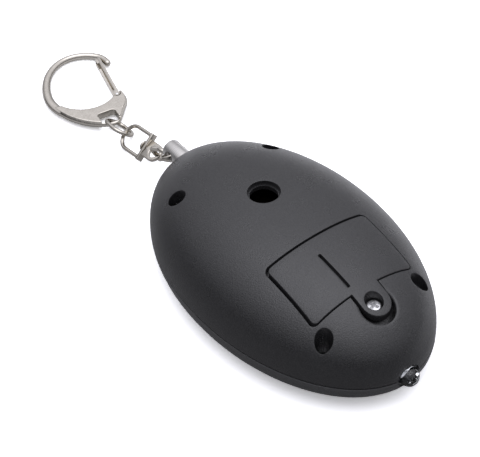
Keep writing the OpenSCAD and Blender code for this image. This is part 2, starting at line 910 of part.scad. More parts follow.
module pin_socket() {
    color(part_black)
        difference() {
            translate([-socket_w / 2, socket_far_y - socket_l, board_top])
                cube([socket_w, socket_l, socket_h]);
            rod_y(shaft_d / 2 + fit_gap, 0, half_l, pin_z);
        }
}

// Two leaf contacts that the pin shaft holds apart
module pin_contacts() {
    blade_gap = 0.4;
    blade_far_y = socket_far_y - socket_l - blade_gap;
    color(brass)
        for (x = [-1, 1])
            translate([x * (shaft_d / 2 + fit_gap + contact_blade_t / 2) - contact_blade_t / 2,
                    blade_far_y - contact_blade_l, board_top])
                cube([contact_blade_t, contact_blade_l, pin_z - board_top + contact_blade_up]);
}

// Clear lamp: flange, cylinder and round tip, along -Y
module lamp() {
    body_l = lamp_back_y - lamp_tip_y;
    color("#dfe6ea", 0.7)
        translate([0, lamp_back_y, seam_z])
            rotate([90, 0, 0]) {
                cylinder(d = lamp_flange_d, h = lamp_flange_t);
                cylinder(d = lamp_d, h = body_l - lamp_d / 2);
                translate([0, 0, body_l - lamp_d / 2])
                    sphere(d = lamp_d);
            }
}

module lamp_leads() {
    color(steel)
        for (x = [-1, 1])
            translate([x * lead_pitch / 2 - lead_t / 2, lamp_back_y, board_top])
                cube([lead_t, lead_end_y - lamp_back_y, lead_t]);
}

module tact_switch() {
    hole_d = plunger_d + 2 * slide_gap;
    hole_l = plunger_in + button_travel + slide_gap;
    color(part_black)
        difference() {
            translate([-switch_w / 2, button_y - switch_w / 2, switch_bottom])
                cube([switch_w, switch_w, board_bottom - switch_bottom]);
            translate([0, button_y, switch_bottom - over])
                cylinder(d = hole_d, h = hole_l + over);
        }
}

module switch_plunger() {
    color("#d8d8d4")
        translate([0, button_y, button_top_z])
            cylinder(d = plunger_d, h = switch_bottom + plunger_in - button_top_z);
}

// Push button of the lamp, held in by its flange
module light_button() {
    crown = 0.25;
    color("#3a3a3c")
        translate([0, button_y, 0]) {
            translate([0, 0, button_sunk + crown])
                cylinder(d = button_d, h = button_top_z - button_sunk - crown);
            translate([0, 0, button_sunk])
                cylinder(d1 = button_d - 2 * crown, d2 = button_d, h = crown + touch);
            translate([0, 0, button_top_z - button_flange_t])
                cylinder(d = button_flange_d, h = button_flange_t);
        }
}

module pin_head() {
    edge = 0.4;
    color(steel)
        difference() {
            union() {
                rod_y(pin_d / 2, pin_seat_y + fit_gap, pin_end_y - edge, pin_z);
                translate([0, pin_end_y - edge, pin_z])
                    rotate([-90, 0, 0])
                        cylinder(d1 = pin_d, d2 = pin_d - 2 * edge, h = edge);
            }
            translate(cross_at)
                rotate([0, 90, 0])
                    cylinder(d = cross_d, h = 2 * pin_d, center = true);
        }
}

module pin_shaft() {
    color(steel) {
        rod_y(shaft_d / 2, shaft_end_y + shaft_d / 2, pin_seat_y + fit_gap, pin_z);
        translate([0, shaft_end_y + shaft_d / 2, pin_z])
            sphere(d = shaft_d);
    }
}

module jump_ring() {
    color(nickel)
        lay(cross_at, ring_pitch)
            translate([0, ring_mid, 0])
                rotate_extrude()
                    translate([ring_r, 0])
                        circle(d = ring_wire);
}

// Flat oval link from its near end at 0, with its long axis along +Y
module oval_link(arc_r, wire, straight) {
    translate([0, arc_r, 0]) {
        rotate([0, 0, 180])
            rotate_extrude(angle = 180)
                translate([arc_r, 0])
                    circle(d = wire);
        translate([0, straight, 0])
            rotate_extrude(angle = 180)
                translate([arc_r, 0])
                    circle(d = wire);
        for (x = [-1, 1])
            translate([x * arc_r, 0, 0])
                rotate([-90, 0, 0])
                    cylinder(d = wire, h = straight);
    }
}

module curb_link() {
    color(nickel)
        lay(link_at, link_pitch, eye_roll)
            translate([0, link_seat - link_arc_r, 0])
                rotate([0, 90, 0])
                    oval_link(link_arc_r, link_wire, link_straight);
}

// Flat tab with the hole of the link, and the rivet that the bail turns on
module swivel_eye() {
    shoulder = eye_l - base_t / 2 - fit_gap;
    rivet_l = base_t + 2 * fit_gap;
    color(nickel)
        lay(eye_at, eye_pitch, eye_roll)
            difference() {
                union() {
                    translate([0, 0, -eye_t / 2])
                        linear_extrude(eye_t) {
                            circle(d = eye_w);
                            translate([-eye_w / 2, 0])
                                square([eye_w, shoulder]);
                        }
                    rod_y(rivet_d / 2, shoulder - over, shoulder + rivet_l + touch, 0);
                    rod_y(rivet_head_d / 2, shoulder + rivet_l, shoulder + rivet_l + rivet_head_t, 0);
                }
                cylinder(d = eye_hole_d, h = 4 * eye_t, center = true);
            }
}

module swivel_bail() {
    color(nickel)
        lay(bail_at, eye_pitch, bail_roll) {
            difference() {
                cube([bail_w + 2 * base_side, base_t, base_h], center = true);
                rod_y(rivet_d / 2 + fit_gap, -over, over, 0);
            }
            translate([0, bail_leg, 0])
                rotate_extrude(angle = 180)
                    translate([bail_arc_r, 0])
                        circle(d = bail_wire);
            for (x = [-1, 1])
                translate([x * bail_arc_r, 0, 0])
                    rotate([-90, 0, 0])
                        cylinder(d = bail_wire, h = bail_leg);
        }
}

module oval_ring() {
    color(nickel)
        lay(oval_near, oval_pitch, oval_roll, oval_yaw)
            oval_link(oval_r, oval_wire, oval_straight);
}

// Points of an arc round a middle point
function arc(at, r, a0, a1, n) =
    [for (i = [0:n]) let (a = a0 + (a1 - a0) * i / n) [at[0] + r * cos(a), at[1] + r * sin(a)]];

// Outline of the hook plate, drawn in by g
function plate_outline(g) =
    [for (a = plate_arcs, p = arc(a[0], a[1] - g, a[2][0], a[2][1], a[3])) p];

// Middle line of the bow from the plate to the nose
function bow_path() = concat(
    arc(root_at, root_r, root_turns[0], root_turns[1], root_steps),
    [for (a = [bow_turns[0] - bow_step:-bow_step:bow_turns[1]]) bow_point(a)],
    [for (i = [1:nose_steps]) let (a = nose_turns[0] + (nose_turns[1] - nose_turns[0]) * i / nose_steps)
        nose_at + nose_r * [cos(a), sin(a)]]);

// Bow that tapers from the plate to a round nose
module bow() {
    path = bow_path();
    last = len(path) - 1;
    taper_end = 0.65;
    function ease(f) = pow(cos(90 * min(f / taper_end, 1)), 2);
    function ring(at, d, half_x, half_z) = [for (i = [0:bow_sides - 1])
        let (a = 360 * i / bow_sides, side = half_x * cos(a))
        [at[0] + side * d[1], at[1] - side * d[0], -half_z * sin(a)]];
    function heading(k) =
        let (v = path[min(k + 1, last)] - path[max(k - 1, 0)])
        v / norm(v);
    body = [for (k = [0:last])
        let (e = ease(k / last))
        ring(path[k], heading(k), bow_wire / 2 + e * (bow_root - bow_wire) / 2,
            bow_wire / 2 + e * (plate_t - bow_wire - fit_gap) / 2)];
    tip_turns = [30, 55, 75];
    tip = [for (a = tip_turns)
        ring(path[last] + bow_wire / 2 * sin(a) * heading(last), heading(last),
            bow_wire / 2 * cos(a), bow_wire / 2 * cos(a))];
    loft(concat(body, tip));
}

module snap_hook() {
    color(nickel)
        lay(hook_at, hook_pitch, 0, hook_yaw)
            difference() {
                union() {
                    bow();
                    difference() {
                        loft([for (e = [[plate_edge, -plate_t / 2], [0, -plate_flat / 2],
                                    [0, plate_flat / 2], [plate_edge, plate_t / 2]])
                            [for (p = plate_outline(e[0])) [p[0], p[1], e[1]]]]);
                        translate(loop_at)
                            cylinder(r = loop_r, h = 2 * plate_t, center = true);
                    }
                    translate([gate_at[0], gate_at[1], lug_z])
                        cylinder(r = lug_r, h = lug_t);
                }
                translate([eye_slot_x, 0, 0])
                    linear_extrude(2 * plate_t, center = true)
                        rounded_rect(eye_slot_w, eye_slot_l, eye_slot_r);
                bar_cut();
                gate_cut();
            }
}

// Rounds the end of the plate to the bar that the oval ring turns on
module bar_cut() {
    for (side = [-1, 1])
        translate([0, bar_y - 2 * bar_w + bar_thin, side * (bar_w / 2 + plate_t / 2)])
            cube([2 * bar_reach, 4 * bar_w, plate_t], center = true);
    difference() {
        translate([bar_from_x, bar_y - 2 * bar_w, -plate_t])
            cube([bar_to_x - bar_from_x, 2 * bar_w + bar_blend, 2 * plate_t]);
        translate([bar_from_x - over, bar_y - bar_w / 2, 0])
            rotate([0, 90, 0])
                cylinder(d = bar_w, h = bar_to_x - bar_from_x + 2 * over);
    }
}

// Room for the gate and its pin, which leaves one thin lug
module gate_cut() {
    room_r = gate_half + gate_clear;
    module room(y) {
        circle(r = room_r);
        translate([-room_r, y])
            square([2 * room_r, 2 * room_r]);
    }
    translate(gate_at)
        rotate([0, 0, -gate_lean]) {
            translate([0, 0, lug_z + lug_t])
                linear_extrude(plate_t)
                    room(0);
            translate([0, 0, lug_z - plate_t])
                linear_extrude(plate_t)
                    room(0);
            translate([-room_r, lug_r + fit_gap, -plate_t])
                cube([2 * room_r, 2 * room_r, 2 * plate_t]);
            cylinder(d = gate_pin_d + fit_gap, h = 2 * plate_t, center = true);
        }
}

// Folded channel, with its pivot at 0, 0 and its tip towards +Y
module hook_gate() {
    color(nickel)
        lay(hook_at, hook_pitch, 0, hook_yaw)
            translate(gate_at)
                rotate([0, 0, -gate_lean])
                    difference() {
                        translate([0, 0, -gate_w / 2])
                            linear_extrude(gate_w) {
                                circle(r = gate_half);
                                translate([-gate_half, 0])
                                    square([2 * gate_half, gate_l - gate_half]);
                                translate([0, gate_l - gate_half])
                                    circle(r = gate_half);
                            }
                        translate([-gate_half - gate_sheet, -2 * gate_half, -gate_room / 2])
                            cube([2 * gate_half, gate_l + gate_half, gate_room]);
                        translate([-2 * gate_half, -2 * gate_half, -gate_room / 2])
                            cube([4 * gate_half, 2 * gate_half + gate_open_l, gate_room]);
                        cylinder(d = gate_pin_d, h = 2 * gate_w, center = true);
                    }
}

module gate_pin() {
    color(steel)
        lay(hook_at, hook_pitch, 0, hook_yaw)
            translate(gate_at)
                cylinder(d = gate_pin_d, h = gate_w, center = true);
}

// Small torsion spring round the gate pin, beside the lug
module gate_spring() {
    turns = 1.4;
    rings = 10;
    spring_gap = 0.05;
    coil_r = gate_pin_d / 2 + gate_spring_wire / 2 + spring_gap;
    z0 = lug_z + lug_t + gate_spring_wire / 2 + spring_gap;
    z1 = gate_room / 2 - gate_spring_wire / 2 - spring_gap;
    path = [for (k = [0:turns * rings])
        let (f = k / (turns * rings), a = 360 * turns * f)
        [coil_r * cos(a), coil_r * sin(a), z0 + (z1 - z0) * f]];
    color(steel)
        lay(hook_at, hook_pitch, 0, hook_yaw)
            translate(gate_at)
                rotate([0, 0, -gate_lean])
                    wire_sweep(path, gate_spring_wire / 2, wire_sides, [0, 0, 1]);
}

rear_shell();
front_shell();
case_screws();
battery_cover();
cover_screw();
button_cells();
cell_contact_plates();
cell_spring();
siren_disc();
siren_ceramic();
siren_wires();
circuit_board();
boost_coil_core();
boost_coil_winding();
driver_transistor();
control_chip();
resistors();
pin_socket();
pin_contacts();
lamp();
lamp_leads();
tact_switch();
switch_plunger();
light_button();
pin_head();
pin_shaft();
jump_ring();
curb_link();
swivel_eye();
swivel_bail();
oval_ring();
snap_hook();
hook_gate();
gate_pin();
gate_spring();
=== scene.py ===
"""Looks of a personal safety alarm: an oval moulded case with a screwed battery cover, a sound hole,
a lamp and a push button, and a pull pin on a swivel chain that ends in a spring-gate snap hook.
Meshes are drawn in millimetres and turned to metres when each piece is made."""
import math

import bmesh
import bpy
import numpy as np
from mathutils import Matrix, Vector


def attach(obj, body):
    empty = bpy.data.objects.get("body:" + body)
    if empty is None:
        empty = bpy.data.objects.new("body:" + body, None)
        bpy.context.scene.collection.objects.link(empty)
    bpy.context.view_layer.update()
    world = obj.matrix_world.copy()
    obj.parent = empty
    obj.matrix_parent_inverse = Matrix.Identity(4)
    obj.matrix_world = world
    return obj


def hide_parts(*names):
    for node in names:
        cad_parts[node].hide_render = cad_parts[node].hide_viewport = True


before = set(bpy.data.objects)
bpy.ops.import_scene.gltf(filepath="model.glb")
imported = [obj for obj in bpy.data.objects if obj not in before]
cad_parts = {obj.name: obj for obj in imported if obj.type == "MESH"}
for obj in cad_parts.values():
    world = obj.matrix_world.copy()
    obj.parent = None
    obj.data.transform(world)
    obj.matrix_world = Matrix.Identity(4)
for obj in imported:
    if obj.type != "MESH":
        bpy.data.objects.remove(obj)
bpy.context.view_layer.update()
scene = bpy.context.scene
scene.view_settings.view_transform = "Standard"

# Camera: the photograph's view, from above the lamp end and a little to the left, with a long lens.
camera_data = bpy.data.cameras.new("photo_camera")
camera_data.lens = 130.55
camera_data.sensor_width = 36
camera_data.clip_start = 0.01
camera_data.clip_end = 20
camera = bpy.data.objects.new("photo_camera", camera_data)
camera.location = (-0.188262, -0.229208, 0.326580)
camera.rotation_euler = [math.radians(a) for a in (44.3083, 0.7269, -37.8147)]
scene.collection.objects.link(camera)
scene.camera = camera


# Studio: grey paper that runs out of the picture and is shown white, with the soft shadow on it, in a light
# tent that is brightest overhead and falls off towards its sides, most of all on the left near side.
def srgb(code):
    """Linear colour of an sRGB hex code."""
    parts = [int(code[i:i + 2], 16) / 255 for i in (1, 3, 5)]
    return [p / 12.92 if p <= 0.04045 else ((p + 0.055) / 1.055) ** 2.4 for p in parts] + [1.0]


def set_sockets(tree, node, sockets):
    """Sets a node's sockets to values, or links them to outputs."""
    for name, value in sockets.items():
        if isinstance(value, bpy.types.NodeSocket):
            tree.links.new(value, node.inputs[name])
        else:
            node.inputs[name].default_value = value


def add_node(tree, kind, sockets, **settings):
    """Adds a shader node with its settings and its sockets."""
    made = tree.nodes.new(kind)
    for name, value in settings.items():
        setattr(made, name, value)
    set_sockets(tree, made, sockets)
    return made


def ramp(tree, value, start, end, low, top, **settings):
    """A value, mapped from the range start to end onto the range low to top."""
    sockets = {"Value": value, "From Min": start, "From Max": end, "To Min": low, "To Max": top}
    return add_node(tree, "ShaderNodeMapRange", sockets, **settings).outputs[0]


# Matt paper: grey in the light that it throws on the part, and white to the camera and through the lamp.
# Mirror-like faces see a share of the white, more on the far right.
table_size = 6.0
table_drop = 0.00003
table_paper = bpy.data.materials.new("grey_paper_shown_white")
table_paper.use_nodes = True
tree = table_paper.node_tree
tree.nodes.clear()
rays = add_node(tree, "ShaderNodeLightPath", {})
grey = add_node(tree, "ShaderNodeBsdfDiffuse", {"Color": srgb("#6c6c6c")})
white = add_node(tree, "ShaderNodeBsdfDiffuse", {"Color": srgb("#ffffff")})
pale = add_node(tree, "ShaderNodeBsdfDiffuse", {"Color": srgb("#b0b0b0")})
lift = add_node(tree, "ShaderNodeEmission", {"Strength": 0.22})
white = add_node(tree, "ShaderNodeAddShader", {0: white.outputs[0], 1: pale.outputs[0]})
white = add_node(tree, "ShaderNodeAddShader", {0: white.outputs[0], 1: lift.outputs[0]})
spot = add_node(tree, "ShaderNodeTexCoord", {}).outputs["Object"]
far_right = add_node(tree, "ShaderNodeVectorMath", {0: spot, 1: (0.95, 0.3, 0.0)}, operation="DOT_PRODUCT")
left_end, right_end, least_share, most_share = -0.03, 0.1, 0.07, 0.52
mirrored = ramp(tree, far_right.outputs["Value"], left_end, right_end, least_share, most_share,
                interpolation_type="SMOOTHSTEP")
seen = add_node(tree, "ShaderNodeMath", {0: rays.outputs["Is Glossy Ray"], 1: mirrored,
                                         2: rays.outputs["Is Camera Ray"]}, operation="MULTIPLY_ADD")
seen = add_node(tree, "ShaderNodeMath", {0: seen.outputs[0], 1: rays.outputs["Is Transmission Ray"]},
                operation="MAXIMUM")
paper = add_node(tree, "ShaderNodeMixShader", {0: seen.outputs[0], 1: grey.outputs[0], 2: white.outputs[0]})
add_node(tree, "ShaderNodeOutputMaterial", {"Surface": paper.outputs[0]})
bm = bmesh.new()
bmesh.ops.create_grid(bm, x_segments=1, y_segments=1, size=table_size / 2)
bmesh.ops.translate(bm, vec=(0, 0, -table_drop), verts=bm.verts)
table_mesh = bpy.data.meshes.new("table")
bm.to_mesh(table_mesh)
bm.free()
table_mesh.materials.append(table_paper)
table = bpy.data.objects.new("table", table_mesh)
scene.collection.objects.link(table)

tent = bpy.data.worlds.new("light_tent")
tent.use_nodes = True
scene.world = tent
tree = tent.node_tree
tree.nodes.clear()
way = add_node(tree, "ShaderNodeTexCoord", {}).outputs["Generated"]
axes = add_node(tree, "ShaderNodeSeparateXYZ", {"Vector": way})
wall_top, roof_start = 0.8, 0.92
wall_dim, wall_bright, roof_bright, side_bright = 0.02, 0.93, 1.38, 0.33
wall_glow = ramp(tree, axes.outputs["Z"], 0.0, wall_top, wall_dim, wall_bright,
                 interpolation_type="SMOOTHSTEP")
roof_glow = ramp(tree, axes.outputs["Z"], wall_top, roof_start, 0.0, roof_bright,
                 interpolation_type="SMOOTHSTEP")
bright_side = add_node(tree, "ShaderNodeVectorMath", {0: way, 1: (0.8, 0.6, 0.0)}, operation="DOT_PRODUCT")
side_glow = ramp(tree, bright_side.outputs["Value"], -0.6, 0.9, 0.0, side_bright,
                 interpolation_type="SMOOTHSTEP")
level = add_node(tree, "ShaderNodeMath", {0: wall_glow, 1: roof_glow}, operation="ADD")
level = add_node(tree, "ShaderNodeMath", {0: level.outputs[0], 1: side_glow}, operation="ADD")
glow = add_node(tree, "ShaderNodeBackground", {"Color": srgb("#f8f8ff"), "Strength": level.outputs[0]})
add_node(tree, "ShaderNodeOutputWorld", {"Surface": glow.outputs[0]})


# Rear shell: the upper half of the case, an injection moulding in black ABS with a fine spark-eroded
# surface. Its wells, pocket and sound hole are moulded in, and their edges are slightly rounded. Four
# screws hold it to the front shell.
def new_material(name):
    """A material, its node tree, its Principled shader and its Object coordinates."""
    material = bpy.data.materials.new(name)
    material.use_nodes = True
    tree = material.node_tree
    shader = tree.nodes["Principled BSDF"]
    return material, tree, shader, add_node(tree, "ShaderNodeTexCoord", {}).outputs["Object"]


def grain(tree, place, size_mm, detail=3.0, rough=0.5):
    """Noise with grains of about the given size."""
    sockets = {"Vector": place, "Scale": 1000 / size_mm, "Detail": detail, "Roughness": rough}
    return add_node(tree, "ShaderNodeTexNoise", sockets).outputs["Fac"]


def blend(tree, share, dark, light):
    """Colour between two hex codes."""
    sockets = {0: share, 6: srgb(dark), 7: srgb(light)}
    return add_node(tree, "ShaderNodeMix", sockets, data_type="RGBA").outputs[2]


def relief(tree, height, strength, depth):
    """Normal of a face with a fine relief, whose depth is in metres."""
    sockets = {"Height": height, "Strength": strength, "Distance": depth}
    return add_node(tree, "ShaderNodeBump", sockets).outputs[0]


abs_ior = 1.54


# Spark-eroded ABS scatters light off pits: a matte face, with grey sparkle in the highlights. The real pits
# are about 0.1 mm, drawn coarser so that they show.
def eroded_abs(name, dark, light):
    """Black ABS with a spark-eroded face."""
    material, tree, shader, place = new_material(name)
    pit_mm, cloud_mm = 0.3, 6
    pits = grain(tree, place, pit_mm)
    cloud = grain(tree, place, cloud_mm)
    set_sockets(tree, shader, {"Base Color": blend(tree, ramp(tree, pits, 0.3, 0.7, 0.0, 1.0), dark, light),
                               "Roughness": ramp(tree, cloud, 0.3, 0.7, 0.26, 0.33),
                               "Normal": relief(tree, pits, 0.9, 0.0001), "IOR": abs_ior})
    return material


abs_case = eroded_abs("spark_eroded_abs", "#18181a", "#2f2f30")

# Polished core pins leave the walls smooth, with sharp glints; their near-black tone is painted shade.
abs_recess_shade, tree, shader, place = new_material("polished_abs_painted_shade")
polish_mm = 0.8
streaks = grain(tree, place, polish_mm, 2.0)
# The near-black base colour and the low specular level paint shade into every wall cut with material 1.
set_sockets(tree, shader, {"Base Color": srgb("#040404"),
                           "Roughness": ramp(tree, streaks, 0.0, 1.0, 0.16, 0.3),
                           "IOR": abs_ior, "Specular IOR Level": 0.2})

MM = 0.001
half_w, half_l = 27.85, 45.0
seam_z, dome_h, bowl_h, wall = 8.9, 19.1, 8.9, 2.0
dome_flat, dome_round = 2.25, 2.47
case_sides = 180
skin_step = 1.15
rim_round = 0.1
seam_gap = 0.27
high = 40.0


def dome_z(x, y, t=0.0):
    """Height of the dome, lowered by t all round, above the point x, y."""
    rho = math.hypot(x / (half_w - t), y / (half_l - t))
    return seam_z + (dome_h - t) * max(0.0, 1 - rho ** dome_flat) ** (1 / dome_round)


def even_points(rho, z, step):
    """Points of a profile curve at even steps along it."""
    run = np.concatenate(([0], np.cumsum(np.hypot(np.diff(rho) * (half_w + half_l) / 2, np.diff(z)))))
    at = np.linspace(0, run[-1], int(run[-1] / step) + 1)
    return list(zip(np.interp(at, run, rho), np.interp(at, run, z)))


def rounded_rim(points, z_rim, r):
    """Draws the end of a profile in round the edge at z_rim, for the hairline between the shells."""
    share = r / ((half_w + half_l) / 2)
    side = 1 if points[0][1] > z_rim else -1
    rim = [p for p in points if side * (p[1] - z_rim) > r]
    for a in (0, 30, 60, 90):
        rim.append((1 - share * (1 - math.cos(math.radians(a))),
                    z_rim + side * r * (1 - math.sin(math.radians(a)))))
    return rim


def lathe(profile, sides, scale=(1, 1, 1)):
    """Solid of revolution about Z from points (radius, z) that start and end on the axis."""
    bm = bmesh.new()
    verts = [bm.verts.new((r, 0, z)) for r, z in profile]
    edges = [bm.edges.new(pair) for pair in zip(verts, verts[1:])]
    bmesh.ops.spin(bm, geom=verts + edges, cent=(0, 0, 0), axis=(0, 0, 1), angle=2 * math.pi, steps=sides,
                   use_merge=True)
    bmesh.ops.scale(bm, vec=scale, verts=bm.verts)
    bmesh.ops.remove_doubles(bm, verts=bm.verts, dist=0.0005)
    bmesh.ops.recalc_face_normals(bm, faces=bm.faces)
    return bm


def turned(bm, matrix):
    """The same mesh, placed by a matrix."""
    bmesh.ops.transform(bm, matrix=matrix, verts=bm.verts)
    return bm


def rod(r, low, top, at=(0, 0), sides=48):
    """Upright round rod."""
    return turned(lathe([(0, low), (r, low), (r, top), (0, top)], sides), Matrix.Translation((*at, 0)))


def rod_y(r, y0, y1, z, sides=48):
    """Round rod along +Y."""
    return turned(rod(r, y0, y1, sides=sides),
                  Matrix.Translation((0, 0, z)) @ Matrix.Rotation(-math.pi / 2, 4, "X"))


def block(low, top):
    """Plain block between two corners."""
    bm = bmesh.new()
    bmesh.ops.create_cube(bm, size=1)
    size = Vector(top) - Vector(low)
    return turned(bm, Matrix.Translation((Vector(low) + Vector(top)) / 2) @ Matrix.Diagonal((*size, 1)))


def joined(parts):
    """One mesh of several."""
    bm = bmesh.new()
    for part in parts:
        mesh = bpy.data.meshes.new("part")
        part.to_mesh(mesh)
        part.free()
        bm.from_mesh(mesh)
        bpy.data.meshes.remove(mesh)
    return bm


def carve(bm, tool, how="DIFFERENCE", cut_slot=0):
    """Cuts a tool out of a mesh, or joins it on; cut faces take the given material, 1 for painted shade."""
    objects = []
    for face in tool.faces:
        face.material_index = cut_slot
    for shape in (bm, tool):
        mesh = bpy.data.meshes.new("carve")
        shape.to_mesh(mesh)
        shape.free()
        mesh.materials.append(None)
        mesh.materials.append(None)
        objects.append(bpy.data.objects.new("carve", mesh))
        scene.collection.objects.link(objects[-1])
    work, cutter = objects
    modifier = work.modifiers.new("carve", "BOOLEAN")
    modifier.operation = how
    modifier.solver = "EXACT"
    modifier.use_self = True
    modifier.object = cutter
    bpy.context.view_layer.update()
    mesh = bpy.data.meshes.new_from_object(work.evaluated_get(bpy.context.evaluated_depsgraph_get()))
    made = bmesh.new()
    made.from_mesh(mesh)
    for o in objects:
        old = o.data
        bpy.data.objects.remove(o)
        bpy.data.meshes.remove(old)
    bpy.data.meshes.remove(mesh)
    bmesh.ops.remove_doubles(made, verts=made.verts, dist=0.002)
    return made


def plan(corners, rounds):
    """Flat face from corner points, with a radius at each corner."""
    bm = bmesh.new()
    bm.faces.new([bm.verts.new((x, y, 0)) for x, y in corners])
    bm.verts.ensure_lookup_table()
    for r in sorted(set(rounds) - {0}):
        spots = [Vector((*c, 0)) for c, own in zip(corners, rounds) if own == r]
        verts = [v for v in bm.verts if any((v.co - s).length < 0.0001 for s in spots)]
        bmesh.ops.bevel(bm, geom=verts, offset=r, offset_type="OFFSET", segments=10, profile=0.5,
                        affect="VERTICES", material=-1)
    bmesh.ops.remove_doubles(bm, verts=bm.verts, dist=0.001)
    return bm


def disc(r, at, sides=56):
    """Flat round face."""
    bm = bmesh.new()
    bmesh.ops.create_circle(bm, cap_ends=True, segments=sides, radius=r)
    return turned(bm, Matrix.Translation((*at, 0)))


def squared(bm, step):
    """Cuts a flat face into squares, so that it can follow the dome."""
    low = [min(v.co[k] for v in bm.verts) for k in (0, 1)]
    top = [max(v.co[k] for v in bm.verts) for k in (0, 1)]
    for k, normal in ((0, (1, 0, 0)), (1, (0, 1, 0))):
        count = int((top[k] - low[k]) / step)
        for i in range(1, count + 1):
            at = [0, 0, 0]
            at[k] = low[k] + (top[k] - low[k]) * i / (count + 1)
            bmesh.ops.bisect_plane(bm, geom=bm.verts[:] + bm.edges[:] + bm.faces[:], plane_co=at,
                                   plane_no=normal, dist=0.0001)
    return bm


def ring_of(edges):
    """Vertices of a closed edge loop in counter-clockwise order, each with its outward direction in plan."""
    near = {}
    for e in edges:
        for v, w in (e.verts, reversed(e.verts)):
            near.setdefault(v, []).append(w)
    first = edges[0].verts[0]
    ring, last = [first], None
    while True:
        ahead = [w for w in near[ring[-1]] if w is not last]
        last = ring[-1]
        if ahead[0] is first:
            break
        ring.append(ahead[0])
    if sum(a.co.x * b.co.y - b.co.x * a.co.y for a, b in zip(ring, ring[1:] + ring[:1])) < 0:
        ring.reverse()
    out = []
    for before, v, after in zip(ring[-1:] + ring[:-1], ring, ring[1:] + ring[:1]):
        one = (v.co - before.co).xy.normalized()
        two = (after.co - v.co).xy.normalized()
        way = Vector((one.y + two.y, -one.x - two.x)).normalized()
        out.append((v, way / max(0.4, way.dot(Vector((one.y, -one.x))))))
    return out


def opening(bm, floor, lip, step=0):
    """Tool that cuts an opening of the given plan into the dome: a floor, upright walls and a rounded lip."""
    if step:
        squared(bm, step)
    for v in bm.verts:
        v.co.z = floor(v.co.x, v.co.y)
    edges = [e for e in bm.edges if e.is_boundary]
    turns = [math.radians(a) for a in (0, 22, 45, 68, 90)]
    rise = [(lip * (1 - math.cos(a)), lip * (1 - math.sin(a))) for a in turns] + [(lip, -lip)]
    grown = 0.0
    for grow, depth in rise:
        made = bmesh.ops.extrude_edge_only(bm, edges=edges)["geom"]
        edges = [e for e in made if isinstance(e, bmesh.types.BMEdge)
                 and all(v in made for v in e.verts) and e.is_boundary]
        for v, way in ring_of(edges):
            v.co.xy += way * (grow - grown)
            v.co.z = dome_z(v.co.x, v.co.y) - depth
        grown = grow
    made = bmesh.ops.extrude_edge_only(bm, edges=edges)["geom"]
    edges = [e for e in made if isinstance(e, bmesh.types.BMEdge) and e.is_boundary]
    for v in {v for e in edges for v in e.verts}:
        v.co.z = high
    bmesh.ops.edgeloop_fill(bm, edges=edges)
    bmesh.ops.recalc_face_normals(bm, faces=bm.faces)
    return bm


def piece(name, bm, materials, body, slot, *nodes, sharp=35):
    """Makes an object of a mesh in millimetres, with smooth faces and sharp corners, on its body."""
    bmesh.ops.scale(bm, vec=(MM, MM, MM), verts=bm.verts)
    mesh = bpy.data.meshes.new(name)
    bm.to_mesh(mesh)
    bm.free()
    mesh.shade_smooth()
    mesh.set_sharp_from_angle(angle=math.radians(sharp))
    mesh.materials.clear()
    for material in materials if isinstance(materials, list) else [materials]:
        mesh.materials.append(material)
    made = bpy.data.objects.new(name, mesh)
    scene.collection.objects.link(made)
    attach(made, body)
    if nodes:
        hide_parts(*nodes)
    return made


turns = np.radians(np.linspace(90, 0, 4000))
dome_curve = even_points(np.cos(turns) ** (2 / dome_flat),
                         seam_z + dome_h * np.sin(turns) ** (2 / dome_round),
                         skin_step)
rear = lathe(rounded_rim(dome_curve, seam_z + seam_gap, rim_round) + [(0, seam_z + seam_gap)], case_sides,
             (half_w, half_l, 1))
inner_curve = [(r, seam_z + (z - seam_z) * (dome_h - wall) / dome_h) for r, z in dome_curve[::3]]
inner_curve[-1] = (1, seam_z)
hollow = lathe(inner_curve + [(1, seam_z - 1), (0, seam_z - 1)], case_sides // 3,
               (half_w - wall, half_l - wall, 1))

screw_spots = [(14.9, 26.1), (-14.9, 26.1), (14.8, -31.0), (-14.8, -31.0)]
screw_seat_z, well_r, screw_hole_r = 11.3, 2.2, 1.25
boss_r, boss_z = 3.55, 9.0
sound_y, sound_r, sound_step, sound_depth = 10.0, 4.1, 0.5, 1.6
sound_wall, sound_under = 1.1, 1.2
siren_z, siren_rim_r, siren_rim = 21.05, 16.9, 1.7
cell_y, well_half_x, well_half_y = -18.5, 13.525, 6.7
well_floor_z, well_wall, well_floor = 11.42, 3.2, 1.5
cover_gap, cover_t, cover_play = 0.4, 1.6, 0.12
cover_screw_y, tab_r = -31.4, 3.9
cover_half_x, cover_near_y, cover_far_y, cover_corner_r = 15.15, -27.5, -9.5, 1.3
nail_y, nail_r, nail_depth = -32.6, 4.3, 3.2
cup_r, cup_z, cup_play, thread_r, thread_low = 3.1, 20.03, 0.15, 1.2, 13.3
pin_z, pin_hole_r, shaft_hole_r, pin_seat_y = 13.3, 2.75, 1.35, 42.0
pin_collar_r, pin_collar_y = 4.2, 38.3
tab_block_x, tab_block_near, tab_block_far = 6.2, -38.8, -23.6
lamp_hole_r, lamp_recess_r, lamp_collar_r, lamp_collar_y = 2.65, 3.35, 4.0, -40.9

